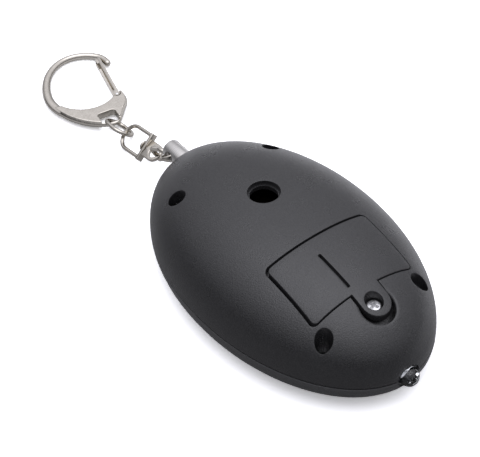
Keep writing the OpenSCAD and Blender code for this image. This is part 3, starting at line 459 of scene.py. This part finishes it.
rim_wall = carve(rod(siren_rim_r, siren_z, high, (0, sound_y), 64),
                 rod(siren_rim_r - siren_rim, siren_z - 1, high + 1, (0, sound_y), 64))
inside = [rod(boss_r, boss_z, high, s) for s in screw_spots]
sound_floor = dome_z(0, sound_y) - sound_depth
inside += [rim_wall, rod(sound_r + sound_wall, sound_floor - sound_under, high, (0, sound_y)),
           block((-well_half_x - well_wall, cell_y - well_half_y - well_wall, well_floor_z - well_floor),
                 (well_half_x + well_wall, cell_y + well_half_y + well_wall, high)),
           block((-tab_block_x, tab_block_near, well_floor_z - well_floor),
                 (tab_block_x, tab_block_far, high)),
           rod_y(pin_collar_r, pin_collar_y, half_l, pin_z),
           rod_y(lamp_collar_r, -half_l, lamp_collar_y, seam_z)]
rear = carve(rear, carve(hollow, joined(inside)))


def cover_plan(g, shift=(0, 0)):
    """Plan of the battery cover with its tab, grown by g."""
    x, near, far = cover_half_x + g, cover_near_y - g, cover_far_y + g
    tab, end, round_r = tab_r + g, cover_screw_y - tab_r - g, cover_corner_r + g
    corners = [(x, far), (-x, far), (-x, near), (-tab, near), (-tab, end), (tab, end),
               (tab, near), (x, near)]
    flat = plan(corners, [round_r, round_r, round_r, 0, tab, tab, 0, round_r])
    return turned(flat, Matrix.Translation((*shift, 0)))


pocket_lip, nail_lip, well_lip, sound_lip = 0.12, 0.9, 0.14, 0.2
pocket_t = cover_t + cover_play
pocket_step, nail_step = 2.0, 1.5
# Material 1 paints shade into the pocket, wells, sound hole, holes and lamp recess, not the nail recess.
pocket = opening(cover_plan(cover_gap), lambda x, y: dome_z(x, y, pocket_t), pocket_lip, pocket_step)
rear = carve(rear, pocket, cut_slot=1)
nail = opening(disc(nail_r, (0, nail_y), 72), lambda x, y: dome_z(x, y, nail_depth), nail_lip, nail_step)
rear = carve(rear, nail)
for spot in screw_spots:
    rear = carve(rear, opening(disc(well_r, spot), lambda x, y: screw_seat_z, well_lip), cut_slot=1)
rear = carve(rear, opening(disc(sound_r, (0, sound_y), 72), lambda x, y: sound_floor, sound_lip), cut_slot=1)
holes = [rod(screw_hole_r, boss_z - 1, high, s) for s in screw_spots]
holes += [rod(sound_r - sound_step, siren_z - 1, high, (0, sound_y), 64),
          block((-well_half_x, cell_y - well_half_y, well_floor_z),
                (well_half_x, cell_y + well_half_y, high)),
          rod(cup_r + cup_play, cup_z - cup_play, high, (0, cover_screw_y)),
          rod(thread_r, thread_low, high, (0, cover_screw_y)),
          rod_y(pin_hole_r, pin_seat_y, half_l + 1, pin_z),
          rod_y(shaft_hole_r, pin_collar_y - 1, half_l, pin_z)]
rear = carve(rear, joined(holes), cut_slot=1)


def lamp_way():
    """Tool for the lamp's hole and the recess round it."""
    return joined([rod_y(lamp_recess_r, -half_l - 1, -half_l + 1, seam_z),
                   rod_y(lamp_hole_r, -half_l - 1, lamp_collar_y + 1, seam_z)])


rear = carve(rear, lamp_way(), cut_slot=1)
piece("rear_shell_moulding", rear, [abs_case, abs_recess_shade], "case", "case_plastic", "rear_shell")


# Front shell: the shallow lower half in the same ABS, with screw bosses, board posts and a lip that
# locates it inside the rear shell. Its flat face has a finger dish round the light button.
flat_share, bowl_flat, bowl_round = 0.5, 2.4, 2.7
bowl_curve = even_points(flat_share + (1 - flat_share) * np.sin(turns[::-1]) ** (2 / bowl_flat),
                         seam_z - bowl_h * np.cos(turns[::-1]) ** (2 / bowl_round), skin_step)
lip_rho, lip_top, lip_low = 0.915, 9.9, 7.5
lip_root, lip_inside = 0.985, 0.955
rim = rounded_rim(bowl_curve, seam_z - seam_gap, rim_round)
front = lathe([(0, 0)] + rim + [(lip_rho, seam_z - seam_gap), (lip_rho, lip_top), (0, lip_top)], case_sides,
              (half_w, half_l, 1))
inner_curve = [(r, seam_z + (z - seam_z) * (bowl_h - wall) / bowl_h) for r, z in bowl_curve[::3]]
inner_curve = [p for p in inner_curve if p[1] < lip_low]
inner_curve += [(lip_root, lip_low), (lip_inside, lip_low), (lip_inside, lip_top + 1)]
hollow = lathe([(0, inner_curve[0][1])] + inner_curve + [(0, lip_top + 1)], case_sides // 3,
               (half_w - wall, half_l - wall, 1))
post_spots = [(13, 14), (-13, 14), (13, -21), (-13, -21)]
post_r, board_low, front_boss_r = 1.8, 7.05, 3.35
inside = [rod(front_boss_r, -1, seam_z, s) for s in screw_spots]
inside += [rod(post_r, -1, board_low, p) for p in post_spots]
inside.append(rod_y(lamp_collar_r, -half_l, lamp_collar_y, seam_z))
front = carve(front, carve(hollow, joined(inside)))
button_y, button_r, button_play, dish_r, dish_depth = 12.0, 5.5, 0.15, 8.5, 0.5
pilot_r, pilot_low, boss_room = 1.2, 4.7, 0.5
pin_gap_x, lamp_gap_x = 4.7, 4.5
holes = [rod(pilot_r, pilot_low, high, s) for s in screw_spots]
holes += [rod(boss_r + boss_room, seam_z, high, s) for s in screw_spots]
holes += [rod(button_r + button_play, -1, wall + 1, (0, button_y), 64),
          block((-pin_gap_x, 0, seam_z), (pin_gap_x, half_l, high)),
          block((-lamp_gap_x, -half_l, seam_z), (lamp_gap_x, 0, high))]
holes.append(turned(lathe([(0, -1), (dish_r + 1, -1), (dish_r, dish_depth), (0, dish_depth)], 64),
                    Matrix.Translation((0, button_y, 0))))
front = carve(front, joined(holes))
# Material 1 paints shade into the lamp recess.
front = carve(front, lamp_way(), cut_slot=1)
# The front shell's ABS is a lighter grey than the rear shell's: painted light from the floor it reflects.
abs_front_painted_light = eroded_abs("spark_eroded_abs_painted_floor_light", "#3c3c3d", "#4c4c4d")
piece("front_shell_moulding", front, [abs_front_painted_light, abs_recess_shade], "case", "case_plastic", "front_shell")


# Battery cover: a thin moulded plate that follows the dome, with a screw tab, a grip groove, two
# skirts that drop into the cell well and a cup under the screw.
def slab(bm, low, top, step):
    """Plate of the given plan between two curved faces."""
    squared(bm, step)
    made = bmesh.ops.extrude_face_region(bm, geom=bm.faces[:], use_keep_orig=True)["geom"]
    raised = {v for v in made if isinstance(v, bmesh.types.BMVert)}
    for v in bm.verts:
        v.co.z = (top if v in raised else low)(v.co.x, v.co.y)
    bmesh.ops.recalc_face_normals(bm, faces=bm.faces)
    return bm


cover_lip = 0.16
cover_trim, cover_shift = 0.05, (0.3, -0.1)
cover_face = cover_plan(-cover_trim, cover_shift)
edge_points = [v.co.xy.copy() for v, way in ring_of(cover_face.edges[:])]
edge_runs = list(zip(edge_points, edge_points[1:] + edge_points[:1]))


def cover_top(x, y):
    """Outer face of the cover, which rounds off at its edge."""
    p = Vector((x, y))
    away = cover_lip
    for a, b in edge_runs:
        run = b - a
        share = min(1, max(0, (p - a).dot(run) / run.length_squared))
        away = min(away, (a + run * share - p).length)
    return dome_z(x, y) - cover_lip + math.sqrt(cover_lip ** 2 - (cover_lip - away) ** 2)


for thickness in (0.02, 0.04, 0.05, 0.05):
    middle = [f for f in cover_face.faces if len(f.verts) > 4]
    bmesh.ops.inset_region(cover_face, faces=middle, thickness=thickness, use_boundary=True,
                           use_even_offset=True)
plate_step, cup_step, root_t = 1.6, 1.5, 0.8
cover = slab(cover_face, lambda x, y: dome_z(x, y, cover_t), cover_top, plate_step)
skirt_x, skirt_t, skirt_z, skirt_play = 11.5, 1.0, 20.9, 0.15
skirts = []
for y in (cell_y - well_half_y + skirt_play, cell_y + well_half_y - skirt_play - skirt_t):
    corners = [(-skirt_x, y), (skirt_x, y), (skirt_x, y + skirt_t), (-skirt_x, y + skirt_t)]
    skirts.append(slab(plan(corners, [0] * 4), lambda x, y: skirt_z, lambda x, y: dome_z(x, y, root_t),
                       plate_step))
cup = slab(disc(cup_r, (0, cover_screw_y)), lambda x, y: cup_z, lambda x, y: dome_z(x, y, root_t), cup_step)
cover = carve(cover, joined(skirts + [cup]), "UNION")
cover_seat_z, cover_well_r, cover_well_lip = 20.93, 2.25, 0.3
groove_x, groove_y, groove_w, groove_l = -2.8, -20.1, 0.85, 11.2
groove_depth, groove_round, groove_lip, groove_step = 1.35, 0.3, 0.05, 1.0
# Material 1 paints shade into the cover's screw well and grip groove.
cover_well = opening(disc(cover_well_r, (0, cover_screw_y)), lambda x, y: cover_seat_z, cover_well_lip)
cover = carve(cover, cover_well, cut_slot=1)
corners = [(groove_x + sx * groove_w / 2, groove_y + sy * groove_l / 2)
           for sx, sy in ((-1, -1), (1, -1), (1, 1), (-1, 1))]
groove = opening(plan(corners, [groove_round] * 4), lambda x, y: dome_z(x, y, groove_depth), groove_lip,
                 groove_step)
cover = carve(cover, groove, cut_slot=1)
cover = carve(cover, rod(thread_r, cup_z - 1, high, (0, cover_screw_y)))
piece("battery_cover_moulding", cover, [abs_case, abs_recess_shade], "battery_cover", "case_plastic",
      "battery_cover")


# Screws: zinc-plated self-tapping pan heads with a cross recess. Four hold the shells together deep in
# their wells, and one holds the battery cover.
# Bright zinc plate over rolled steel is cool and silvery, with a slightly uneven gloss from the barrel.
zinc, tree, shader, place = new_material("bright_zinc_plate")
roll_mm = 0.25
marks = grain(tree, place, roll_mm)
set_sockets(tree, shader, {"Base Color": srgb("#d8d8d9"), "Metallic": 1.0,
                           "Roughness": ramp(tree, marks, 0.0, 1.0, 0.2, 0.42),
                           "Normal": relief(tree, marks, 0.15, 0.00003)})


def screw(head_r, head_h, r, length):
    """Pan head screw with its seat at z = 0: a rounded head, a ridged shank and a cross recess."""
    soft = 0.4 * head_h
    profile = [(0, head_h)] + [(head_r - soft + soft * math.sin(a), head_h - soft + soft * math.cos(a))
                               for a in (0, 0.4, 0.8, 1.2, 1.571)]
    profile += [(head_r, 0.1), (head_r - 0.1, 0), (r, 0)]
    pitch, z = 0.8, -0.4
    while z > -length + pitch:
        profile += [(0.8 * r, z), (r, z - pitch / 2)]
        z -= pitch
    profile += [(0.7 * r, z), (0, -length)]
    bm = lathe(profile, 40)
    slots, slot_l, slot_w, slot_low = [], 0.68 * head_r, 0.2 * head_r, 0.2 * head_h
    for a in (0, math.pi / 2):
        bar = block((-slot_l, -slot_w, slot_low), (slot_l, slot_w, head_h + 1))
        slots.append(turned(bar, Matrix.Rotation(a, 4, "Z")))
    return carve(bm, joined(slots))


case_screw, cover_screw, cover_screw_turn = (1.95, 1.5, 1.15, 6), (1.95, 1.3, 1.1, 7), 20
fasteners = [turned(screw(*case_screw), Matrix.Translation((*s, screw_seat_z))) for s in screw_spots]
piece("case_screw_set", joined(fasteners), zinc, "case", "zinc_steel", "case_screws")
cover_fastener = turned(screw(*cover_screw), Matrix.Translation((0, cover_screw_y, cover_seat_z))
                        @ Matrix.Rotation(math.radians(cover_screw_turn), 4, "Z"))
piece("cover_screw_turned", cover_fastener, zinc, "cover_screw", "zinc_steel", "cover_screw")

# Lamp: a 5 mm light-emitting diode in clear cast resin, clamped by its flange between the shells, with
# a cup and a post of silvered lead frame inside.
# Cast resin is as clear as glass, with a trace of haze that softens what is seen through it.
clear_resin, tree, shader, place = new_material("clear_cast_resin")
haze_mm = 1.5
haze = grain(tree, place, haze_mm, 2.0)
set_sockets(tree, shader, {"Base Color": srgb("#f2f5f7"), "Roughness": ramp(tree, haze, 0.0, 1.0, 0.02, 0.08),
                           "Transmission Weight": 1.0, "IOR": 1.54})
lamp_back_y, lamp_r, lamp_flange_r, lamp_l = -39.8, 2.5, 2.9, 7.6
to_lamp = Matrix.Translation((0, lamp_back_y, seam_z)) @ Matrix.Rotation(math.pi / 2, 4, "X")
profile = [(0, 0), (lamp_flange_r, 0), (lamp_flange_r, 0.9), (lamp_flange_r - 0.1, 1.0), (lamp_r, 1.0)]
profile += [(lamp_r * math.cos(math.radians(a)), lamp_l - lamp_r + lamp_r * math.sin(math.radians(a)))
            for a in range(0, 91, 6)]
piece("lamp_lens", turned(lathe(profile, 48), to_lamp), clear_resin, "case", "clear_lens", "lamp")
cup = lathe([(0, 3.4), (0.45, 3.4), (0.9, 4.1), (0.95, 4.1), (0.95, 3.2), (0, 3.0)], 32)
post_half = 0.25
posts = [cup, block((-1.6, -post_half, 0.1), (-1.0, post_half, 3.3)),
         block((0.9, -post_half, 0.1), (1.5, post_half, 3.9)),
         block((-1.6, -post_half, 2.9), (0.3, post_half, 3.3))]
piece("lamp_lead_frame", turned(joined(posts), to_lamp), zinc, "case", "zinc_steel")

# Light button: a satin ABS cap in the flat face, dished for a fingertip and held in by its flange.
# Satin ABS is dark grey with a soft sheen. Its pits are finer than 0.1 mm, drawn coarser so that they show.
abs_button, tree, shader, place = new_material("satin_abs")
satin_mm = 0.3
pits = grain(tree, place, satin_mm, 2.0)
set_sockets(tree, shader, {"Base Color": srgb("#3a3a3c"), "Roughness": 0.42,
                           "Normal": relief(tree, pits, 0.2, 0.00004)})
button_low, button_top, flange_low, flange_r = 0.3, 2.81, 2.01, 6.8
profile = [(0, button_low + 0.25), (2.0, button_low + 0.2), (4.0, button_low + 0.06), (4.7, button_low),
           (5.2, button_low + 0.07), (5.43, button_low + 0.3), (button_r, button_low + 0.5),
           (button_r, flange_low), (flange_r, flange_low), (flange_r, button_top), (0, button_top)]
piece("light_button_cap", turned(lathe(profile, 64), Matrix.Translation((0, button_y, 0))), abs_button,
      "light_button", "button_plastic", "light_button")

# Pull pin: turned and plated steel, a thick head with a cross hole for the jump ring and a thin shaft
# that holds the contacts apart inside the case.
# Turned and plated steel is pale grey, with fine tool marks that run round it and spread its highlights.
turned_steel, tree, shader, place = new_material("turned_plated_steel")
tool_mm = 0.3
along = add_node(tree, "ShaderNodeMapping", {"Vector": place, "Scale": (60, 1000 / tool_mm, 60)})
marks = add_node(tree, "ShaderNodeTexNoise", {"Vector": along.outputs[0], "Scale": 1.0, "Detail": 3.0})
marks = marks.outputs["Fac"]
set_sockets(tree, shader, {"Base Color": srgb("#ceccc9"), "Metallic": 1.0,
                           "Roughness": ramp(tree, marks, 0.0, 1.0, 0.18, 0.4),
                           "Normal": relief(tree, marks, 0.2, 0.00002)})
pin_r, shaft_r, cross_y, cross_r, pin_end = 2.6, 1.25, 47.2, 1.3, 50.0
shaft_end, head_start, head_bevel = 23.0, 42.1, 0.15
profile = [(0, shaft_end)]
profile += [(shaft_r * math.sin(a), shaft_end + shaft_r - shaft_r * math.cos(a))
            for a in (0.3, 0.6, 0.9, 1.2, 1.571)]
profile += [(shaft_r, head_start), (pin_r - head_bevel, head_start), (pin_r, head_start + head_bevel),
            (pin_r, pin_end - 0.4), (pin_r - 0.1, pin_end - 0.2), (pin_r - 0.4, pin_end), (0, pin_end)]
pin = turned(lathe(profile, 56), Matrix.Translation((0, 0, pin_z)) @ Matrix.Rotation(-math.pi / 2, 4, "X"))
mouth = [(0, -3), (cross_r + 0.5, -3), (cross_r + 0.25, -2.5), (cross_r, -2.0),
         (cross_r, 2.0), (cross_r + 0.25, 2.5), (cross_r + 0.5, 3), (0, 3)]
to_cross = Matrix.Translation((0, cross_y, pin_z)) @ Matrix.Rotation(math.pi / 2, 4, "Y")
bore = turned(lathe(mouth, 40), to_cross)
piece("pull_pin_turned", carve(pin, bore), turned_steel, "pull_pin", "pin_steel", "pin_head", "pin_shaft")

# Chain: a jump ring through the pin, a curb link, a riveted swivel and an oval ring, all bent from
# nickel-plated wire or pressed from strip.
# Nickel on drawn wire is warm and bright, almost a mirror, with small duller patches.
nickel_wire, tree, shader, place = new_material("nickel_plated_wire")
draw_mm = 0.5
marks = grain(tree, place, draw_mm, 4.0)
set_sockets(tree, shader, {"Base Color": blend(tree, marks, "#aaa59c", "#d6d1c8"), "Metallic": 1.0,
                           "Roughness": ramp(tree, marks, 0.0, 1.0, 0.05, 0.18)})


def lay(at, pitch, roll=0.0, yaw=0.0):
    """Places a chain piece at a point, with its own +Y pointing down the chain."""
    turn = Matrix.Rotation(math.radians(yaw), 4, "Z") @ Matrix.Rotation(math.radians(-pitch), 4, "X")
    return Matrix.Translation(at) @ turn @ Matrix.Rotation(math.radians(-roll), 4, "Y")


def bent_wire(arc_r, wire, legs, turns, sides=20):
    """Round wire from a circle at (arc_r, 0, 0): straight legs along +Y and half turns, in order."""
    bm = bmesh.new()
    ring = bmesh.ops.create_circle(bm, cap_ends=False, segments=sides, radius=wire / 2)["verts"]
    turned(bm, Matrix.Translation((arc_r, 0, 0)) @ Matrix.Rotation(math.pi / 2, 4, "X"))
    edges = list({e for v in ring for e in v.link_edges})
    way = 1
    for leg, turn in zip(legs, turns):
        if leg:
            made = bmesh.ops.extrude_edge_only(bm, edges=edges)["geom"]
            moved = [v for v in made if isinstance(v, bmesh.types.BMVert)]
            bmesh.ops.translate(bm, vec=(0, way * leg, 0), verts=moved)
            edges = [e for e in made if isinstance(e, bmesh.types.BMEdge)
                     and all(v in moved for v in e.verts)]
        if turn:
            middle = (0, sum(v.co.y for e in edges for v in e.verts) / (2 * len(edges)), 0)
            verts = list({v for e in edges for v in e.verts})
            made = bmesh.ops.spin(bm, geom=verts + edges, cent=middle, axis=(0, 0, 1),
                                  angle=math.radians(turn), steps=28)["geom_last"]
            edges = [e for e in made if isinstance(e, bmesh.types.BMEdge)]
            way = -way
    bmesh.ops.remove_doubles(bm, verts=bm.verts, dist=0.001)
    bmesh.ops.holes_fill(bm, edges=bm.edges[:], sides=sides)
    bmesh.ops.recalc_face_normals(bm, faces=bm.faces)
    return bm


def oval_link(arc_r, wire, straight):
    """Closed link from its near end at 0, with its long axis along +Y."""
    return turned(bent_wire(arc_r, wire, (straight, straight), (180, 180)),
                  Matrix.Translation((0, arc_r, 0)))


cross_at, link_at = (0, cross_y, pin_z), (0, 51.951, 9.0222)
ring_r, ring_wire, ring_pitch, ring_mid = 3.5, 1.0, 42.0, 2.8931
link_r, link_wire, link_straight, link_pitch, link_seat = 2.25, 1.3, 2.9, 31.0, 1.0
eye_at, eye_pitch, eye_roll = (0, 57.5225, 5.6745), 11.0, 25.0
jump = turned(bent_wire(ring_r, ring_wire, (0, 0), (180, 180), 24), lay(cross_at, ring_pitch)
              @ Matrix.Translation((0, ring_mid, 0)))
piece("jump_ring_wire", jump, nickel_wire, "jump_ring", "nickel_plate", "jump_ring")
link = turned(oval_link(link_r, link_wire, link_straight), lay(link_at, link_pitch, eye_roll)
              @ Matrix.Translation((0, link_seat - link_r, 0)) @ Matrix.Rotation(math.pi / 2, 4, "Y"))
piece("curb_link_wire", link, nickel_wire, "curb_link", "nickel_plate", "curb_link")


# Swivel: a tab pressed from strip with a hole for the link, riveted through the base bar of a wire bail
# so that the two can spin. The rivet's head shows inside the bail.
def soft_edges(bm, width, angle=40, segments=3):
    """Rounds the sharp edges of a mesh."""
    edges = [e for e in bm.edges if e.is_manifold and e.calc_face_angle() > math.radians(angle)]
    bmesh.ops.bevel(bm, geom=edges, offset=width, offset_type="OFFSET", segments=segments, profile=0.5,
                    affect="EDGES", material=-1, clamp_overlap=True)
    return bm


eye_w, eye_t, eye_hole_r, shoulder_y = 5.2, 1.0, 1.6, 3.45
rivet_r, rivet_head_r, rivet_end, head_end = 0.6, 1.5, 4.55, 5.45
uncut = 40.0
corners = [(-eye_w / 2, -eye_w / 2), (eye_w / 2, -eye_w / 2),
           (eye_w / 2, shoulder_y), (-eye_w / 2, shoulder_y)]
tab = slab(plan(corners, [eye_w / 2, eye_w / 2, 0, 0]), lambda x, y: -eye_t / 2,
           lambda x, y: eye_t / 2, uncut)
tab = soft_edges(carve(tab, rod(eye_hole_r, -2, 2, sides=40)), 0.2)
rivet = [(0, shoulder_y - 0.3), (rivet_r, shoulder_y - 0.3), (rivet_r, rivet_end),
         (rivet_head_r - 0.1, rivet_end), (rivet_head_r, rivet_end + 0.1),
         (rivet_head_r, head_end - 0.5), (1.3, head_end - 0.25), (0.9, head_end - 0.06), (0, head_end)]
to_y = Matrix.Rotation(-math.pi / 2, 4, "X")
tab = carve(tab, turned(lathe(rivet, 32), to_y), "UNION")
piece("swivel_eye_pressing", turned(tab, lay(eye_at, eye_pitch, eye_roll)), nickel_wire, "swivel_eye",
      "nickel_plate", "swivel_eye")

bail_at, bail_roll = (0, 61.4491, 4.9112), 38.0
bail_r, bail_wire, bail_leg = 3.45, 1.1, 6.9
base_x, base_t, base_h = 4.15, 0.9, 2.0
base = soft_edges(block((-base_x, -base_t / 2, -base_h / 2), (base_x, base_t / 2, base_h / 2)), 0.18)
base = carve(base, rod_y(rivet_r + 0.1, -2, 2, 0, 32))
bail = carve(base, bent_wire(bail_r, bail_wire, (bail_leg, bail_leg), (180, 0)), "UNION")
piece("swivel_bail_wire", turned(bail, lay(bail_at, eye_pitch, bail_roll)), nickel_wire, "swivel_bail",
      "nickel_plate", "swivel_bail")

oval_r, oval_wire, oval_straight = 3.1, 1.2, 2.3
to_oval = lay((0, 70.3819, 3.1749), 7.6046, -37.0, -2.6)
oval = turned(oval_link(oval_r, oval_wire, oval_straight), to_oval)
piece("oval_ring_wire", oval, nickel_wire, "oval_ring", "nickel_plate", "oval_ring")


# Snap hook: a zinc die casting, tumbled so that its edges are round, and nickel plated. Its plate keeps
# the faint mottle of the casting. The oval ring passes through its eye.
def from_cad(node):
    """A merged copy of a CAD node's mesh, in millimetres."""
    bm = bmesh.new()
    bm.from_mesh(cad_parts[node].data)
    bmesh.ops.scale(bm, vec=(1 / MM, 1 / MM, 1 / MM), verts=bm.verts)
    bmesh.ops.remove_doubles(bm, verts=bm.verts, dist=0.002)
    bmesh.ops.recalc_face_normals(bm, faces=bm.faces)
    return bm


# Nickel on a tumbled zinc casting is the same warm grey with a faint mottle, glossy on the round bow.
nickel_cast, tree, shader, place = new_material("nickel_plated_casting")
mottle_mm = 1.2
mottle = grain(tree, place, mottle_mm, 5.0, 0.7)
set_sockets(tree, shader, {"Base Color": blend(tree, mottle, "#aca79e", "#d6d1c8"), "Metallic": 1.0,
                           "Roughness": ramp(tree, mottle, 0.3, 0.7, 0.07, 0.22),
                           "Normal": relief(tree, mottle, 0.12, 0.00004)})

# The ring's place at the end of the hook's swing is cleared out of the casting, with a little room round it.
hinge_at, hinge_axis = Vector((0.148, 77.47, 2.141)), Vector((-0.9848, 0.1736, 0))
swing_limit, ring_room = 25.0, 0.16
swung = Matrix.Rotation(math.radians(-swing_limit), 4, hinge_axis)
swung = Matrix.Translation(hinge_at) @ swung @ Matrix.Translation(-hinge_at) @ to_oval
clearance = turned(oval_link(oval_r, oval_wire + ring_room, oval_straight), swung)
casting = carve(from_cad("snap_hook"), clearance)
hook = piece("snap_hook_casting", casting, nickel_cast, "snap_hook", "nickel_plate", "snap_hook")
cast_grain = 0.12
cast = hook.modifiers.new("tumbled", "REMESH")
cast.mode = "VOXEL"
cast.voxel_size = cast_grain * MM
cast.use_smooth_shade = True
tumbled = hook.modifiers.new("rounded", "SMOOTH")
tumbled.factor = 0.5
tumbled.iterations = 3
lean = hook.modifiers.new("lean", "DECIMATE")
lean.ratio = 0.3

# Gate: a narrow channel folded from nickel-plated strip, open towards the hook's loop, with its upper flange
# trimmed back. It turns on a small peened pin and is closed by a torsion spring inside it.
hook_at, hook_pitch, hook_yaw = (0.6079, 80.0787, 2.05), 1.958, -10.0
gate_at, gate_lean = (5.95, 7.7, 0), 5.7
gate_half, gate_l, gate_half_w, gate_sheet, gate_fold = 0.75, 17.6, 1.0, 0.35, 0.42
corners = [(-gate_half, -gate_half), (gate_half, -gate_half), (gate_half, gate_l), (-gate_half, gate_l)]
gate = slab(plan(corners, [gate_half] * 4), lambda x, y: -gate_half_w, lambda x, y: gate_half_w, uncut)
folds = [e for e in gate.edges if abs(e.verts[0].co.z - e.verts[1].co.z) < 0.01
         and e.verts[0].co.x + e.verts[1].co.x > 0.2]
bmesh.ops.bevel(gate, geom=folds, offset=gate_fold, offset_type="OFFSET", segments=5, profile=0.5,
                affect="EDGES", material=-1, clamp_overlap=True)
room = gate_half_w - gate_sheet
past = 1.5
lug_gap, trim_x, trim_near, trim_far, trim_low, gate_pin_r = 1.2, -0.1, 1.7, 15.2, 0.5, 0.4
for low, top in (((-past, -past, -room), (gate_half - gate_sheet, gate_l - gate_half, room)),
                 ((-past, -past, -room), (past, lug_gap, room)),
                 ((-past, trim_near, trim_low), (trim_x, trim_far, past))):
    gate = carve(gate, block(low, top))
gate = soft_edges(carve(gate, rod(gate_pin_r, -past, past, sides=24)), 0.06, 50, 2)
to_gate = lay(hook_at, hook_pitch, 0, hook_yaw) @ Matrix.Translation(gate_at)
leaning = to_gate @ Matrix.Rotation(math.radians(-gate_lean), 4, "Z")
piece("hook_gate_channel", turned(gate, leaning), nickel_cast, "hook_gate", "nickel_plate", "hook_gate")
profile = [(0, -1.1), (0.25, -1.08), (gate_pin_r, -0.98), (gate_pin_r, 0.98), (0.25, 1.08), (0, 1.1)]
peened = turned(lathe(profile, 24), to_gate)
piece("gate_pin_peened", peened, zinc, "hook_gate", "zinc_steel", "gate_pin")


# Inside: the cells, contacts, siren and circuit that the case holds. They keep their construction shapes,
# and each takes a plain material with a fine grain.
def grained(name, dark, light, grain_mm, rough, metal=0.0):
    """Plain material whose tone and gloss vary with a fine grain."""
    material, tree, shader, place = new_material(name)
    spots = grain(tree, place, grain_mm)
    set_sockets(tree, shader, {"Base Color": blend(tree, spots, dark, light), "Metallic": metal,
                               "Roughness": ramp(tree, spots, 0.0, 1.0, *rough)})
    return material


for material, nodes in (
        # Drawn steel cans: bright and cool.
        (grained("cell_steel", "#b9babb", "#d6d7d8", 0.4, (0.18, 0.3), 1.0), ("button_cells",)),
        # Nickel on spring steel: warmer and a little duller than the cells.
        (grained("nickel_contact", "#b8b2a8", "#d2ccc2", 0.5, (0.2, 0.35), 1.0),
         ("cell_contact_plates", "cell_spring")),
        # Bare brass leaf: clear yellow.
        (grained("brass_sheet", "#b08d3c", "#cfae5c", 0.8, (0.25, 0.4), 1.0), ("pin_contacts",)),
        # Brass painted almost black: painted shade through the sound hole, with a brown gleam.
        (grained("brass_painted_shade", "#15120c", "#221d14", 0.8, (0.35, 0.5), 1.0), ("siren_disc",)),
        # Ceramic under a thin silver coat: off-white and matt.
        (grained("silvered_ceramic", "#d9d5c8", "#efece2", 0.3, (0.4, 0.55)), ("siren_ceramic",)),
        # Soft vinyl sleeve: plain red with a dull shine.
        (grained("red_sleeve", "#a81612", "#c8231c", 0.5, (0.4, 0.5)), ("siren_wires",)),
        # Solder mask over laminate: deep green and smooth.
        (grained("green_laminate", "#123c1f", "#1c5a2e", 0.6, (0.3, 0.45)), ("circuit_board",)),
        # Pressed ferrite: charcoal and matt.
        (grained("ferrite", "#2b2b2d", "#3b3b3d", 0.3, (0.5, 0.7)), ("boost_coil_core",)),
        # Enamelled copper wire: reddish brown and shiny.
        (grained("enamelled_copper", "#8e4318", "#b5602a", 0.25, (0.25, 0.4), 1.0),
         ("boost_coil_winding",)),
        # Filled epoxy and plain mouldings: black and matt.
        (grained("moulding_black", "#161617", "#242426", 0.2, (0.4, 0.6)),
         ("driver_transistor", "control_chip", "pin_socket", "tact_switch")),
        # Dipped lacquer: tan with a soft shine.
        (grained("resistor_lacquer", "#c2a878", "#d8c29a", 0.3, (0.35, 0.5)), ("resistors",)),
        # Tinned wire: pale grey and slightly dull.
        (grained("tinned_wire", "#b4b5b6", "#d0d1d2", 0.3, (0.25, 0.4), 1.0),
         ("lamp_leads", "gate_spring")),
        # Acetal: milky white and waxy.
        (grained("white_acetal", "#dcdcd8", "#efefec", 0.4, (0.35, 0.5)), ("switch_plunger",))):
    for node in nodes:
        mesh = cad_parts[node].data
        mesh.materials.clear()
        mesh.materials.append(material)
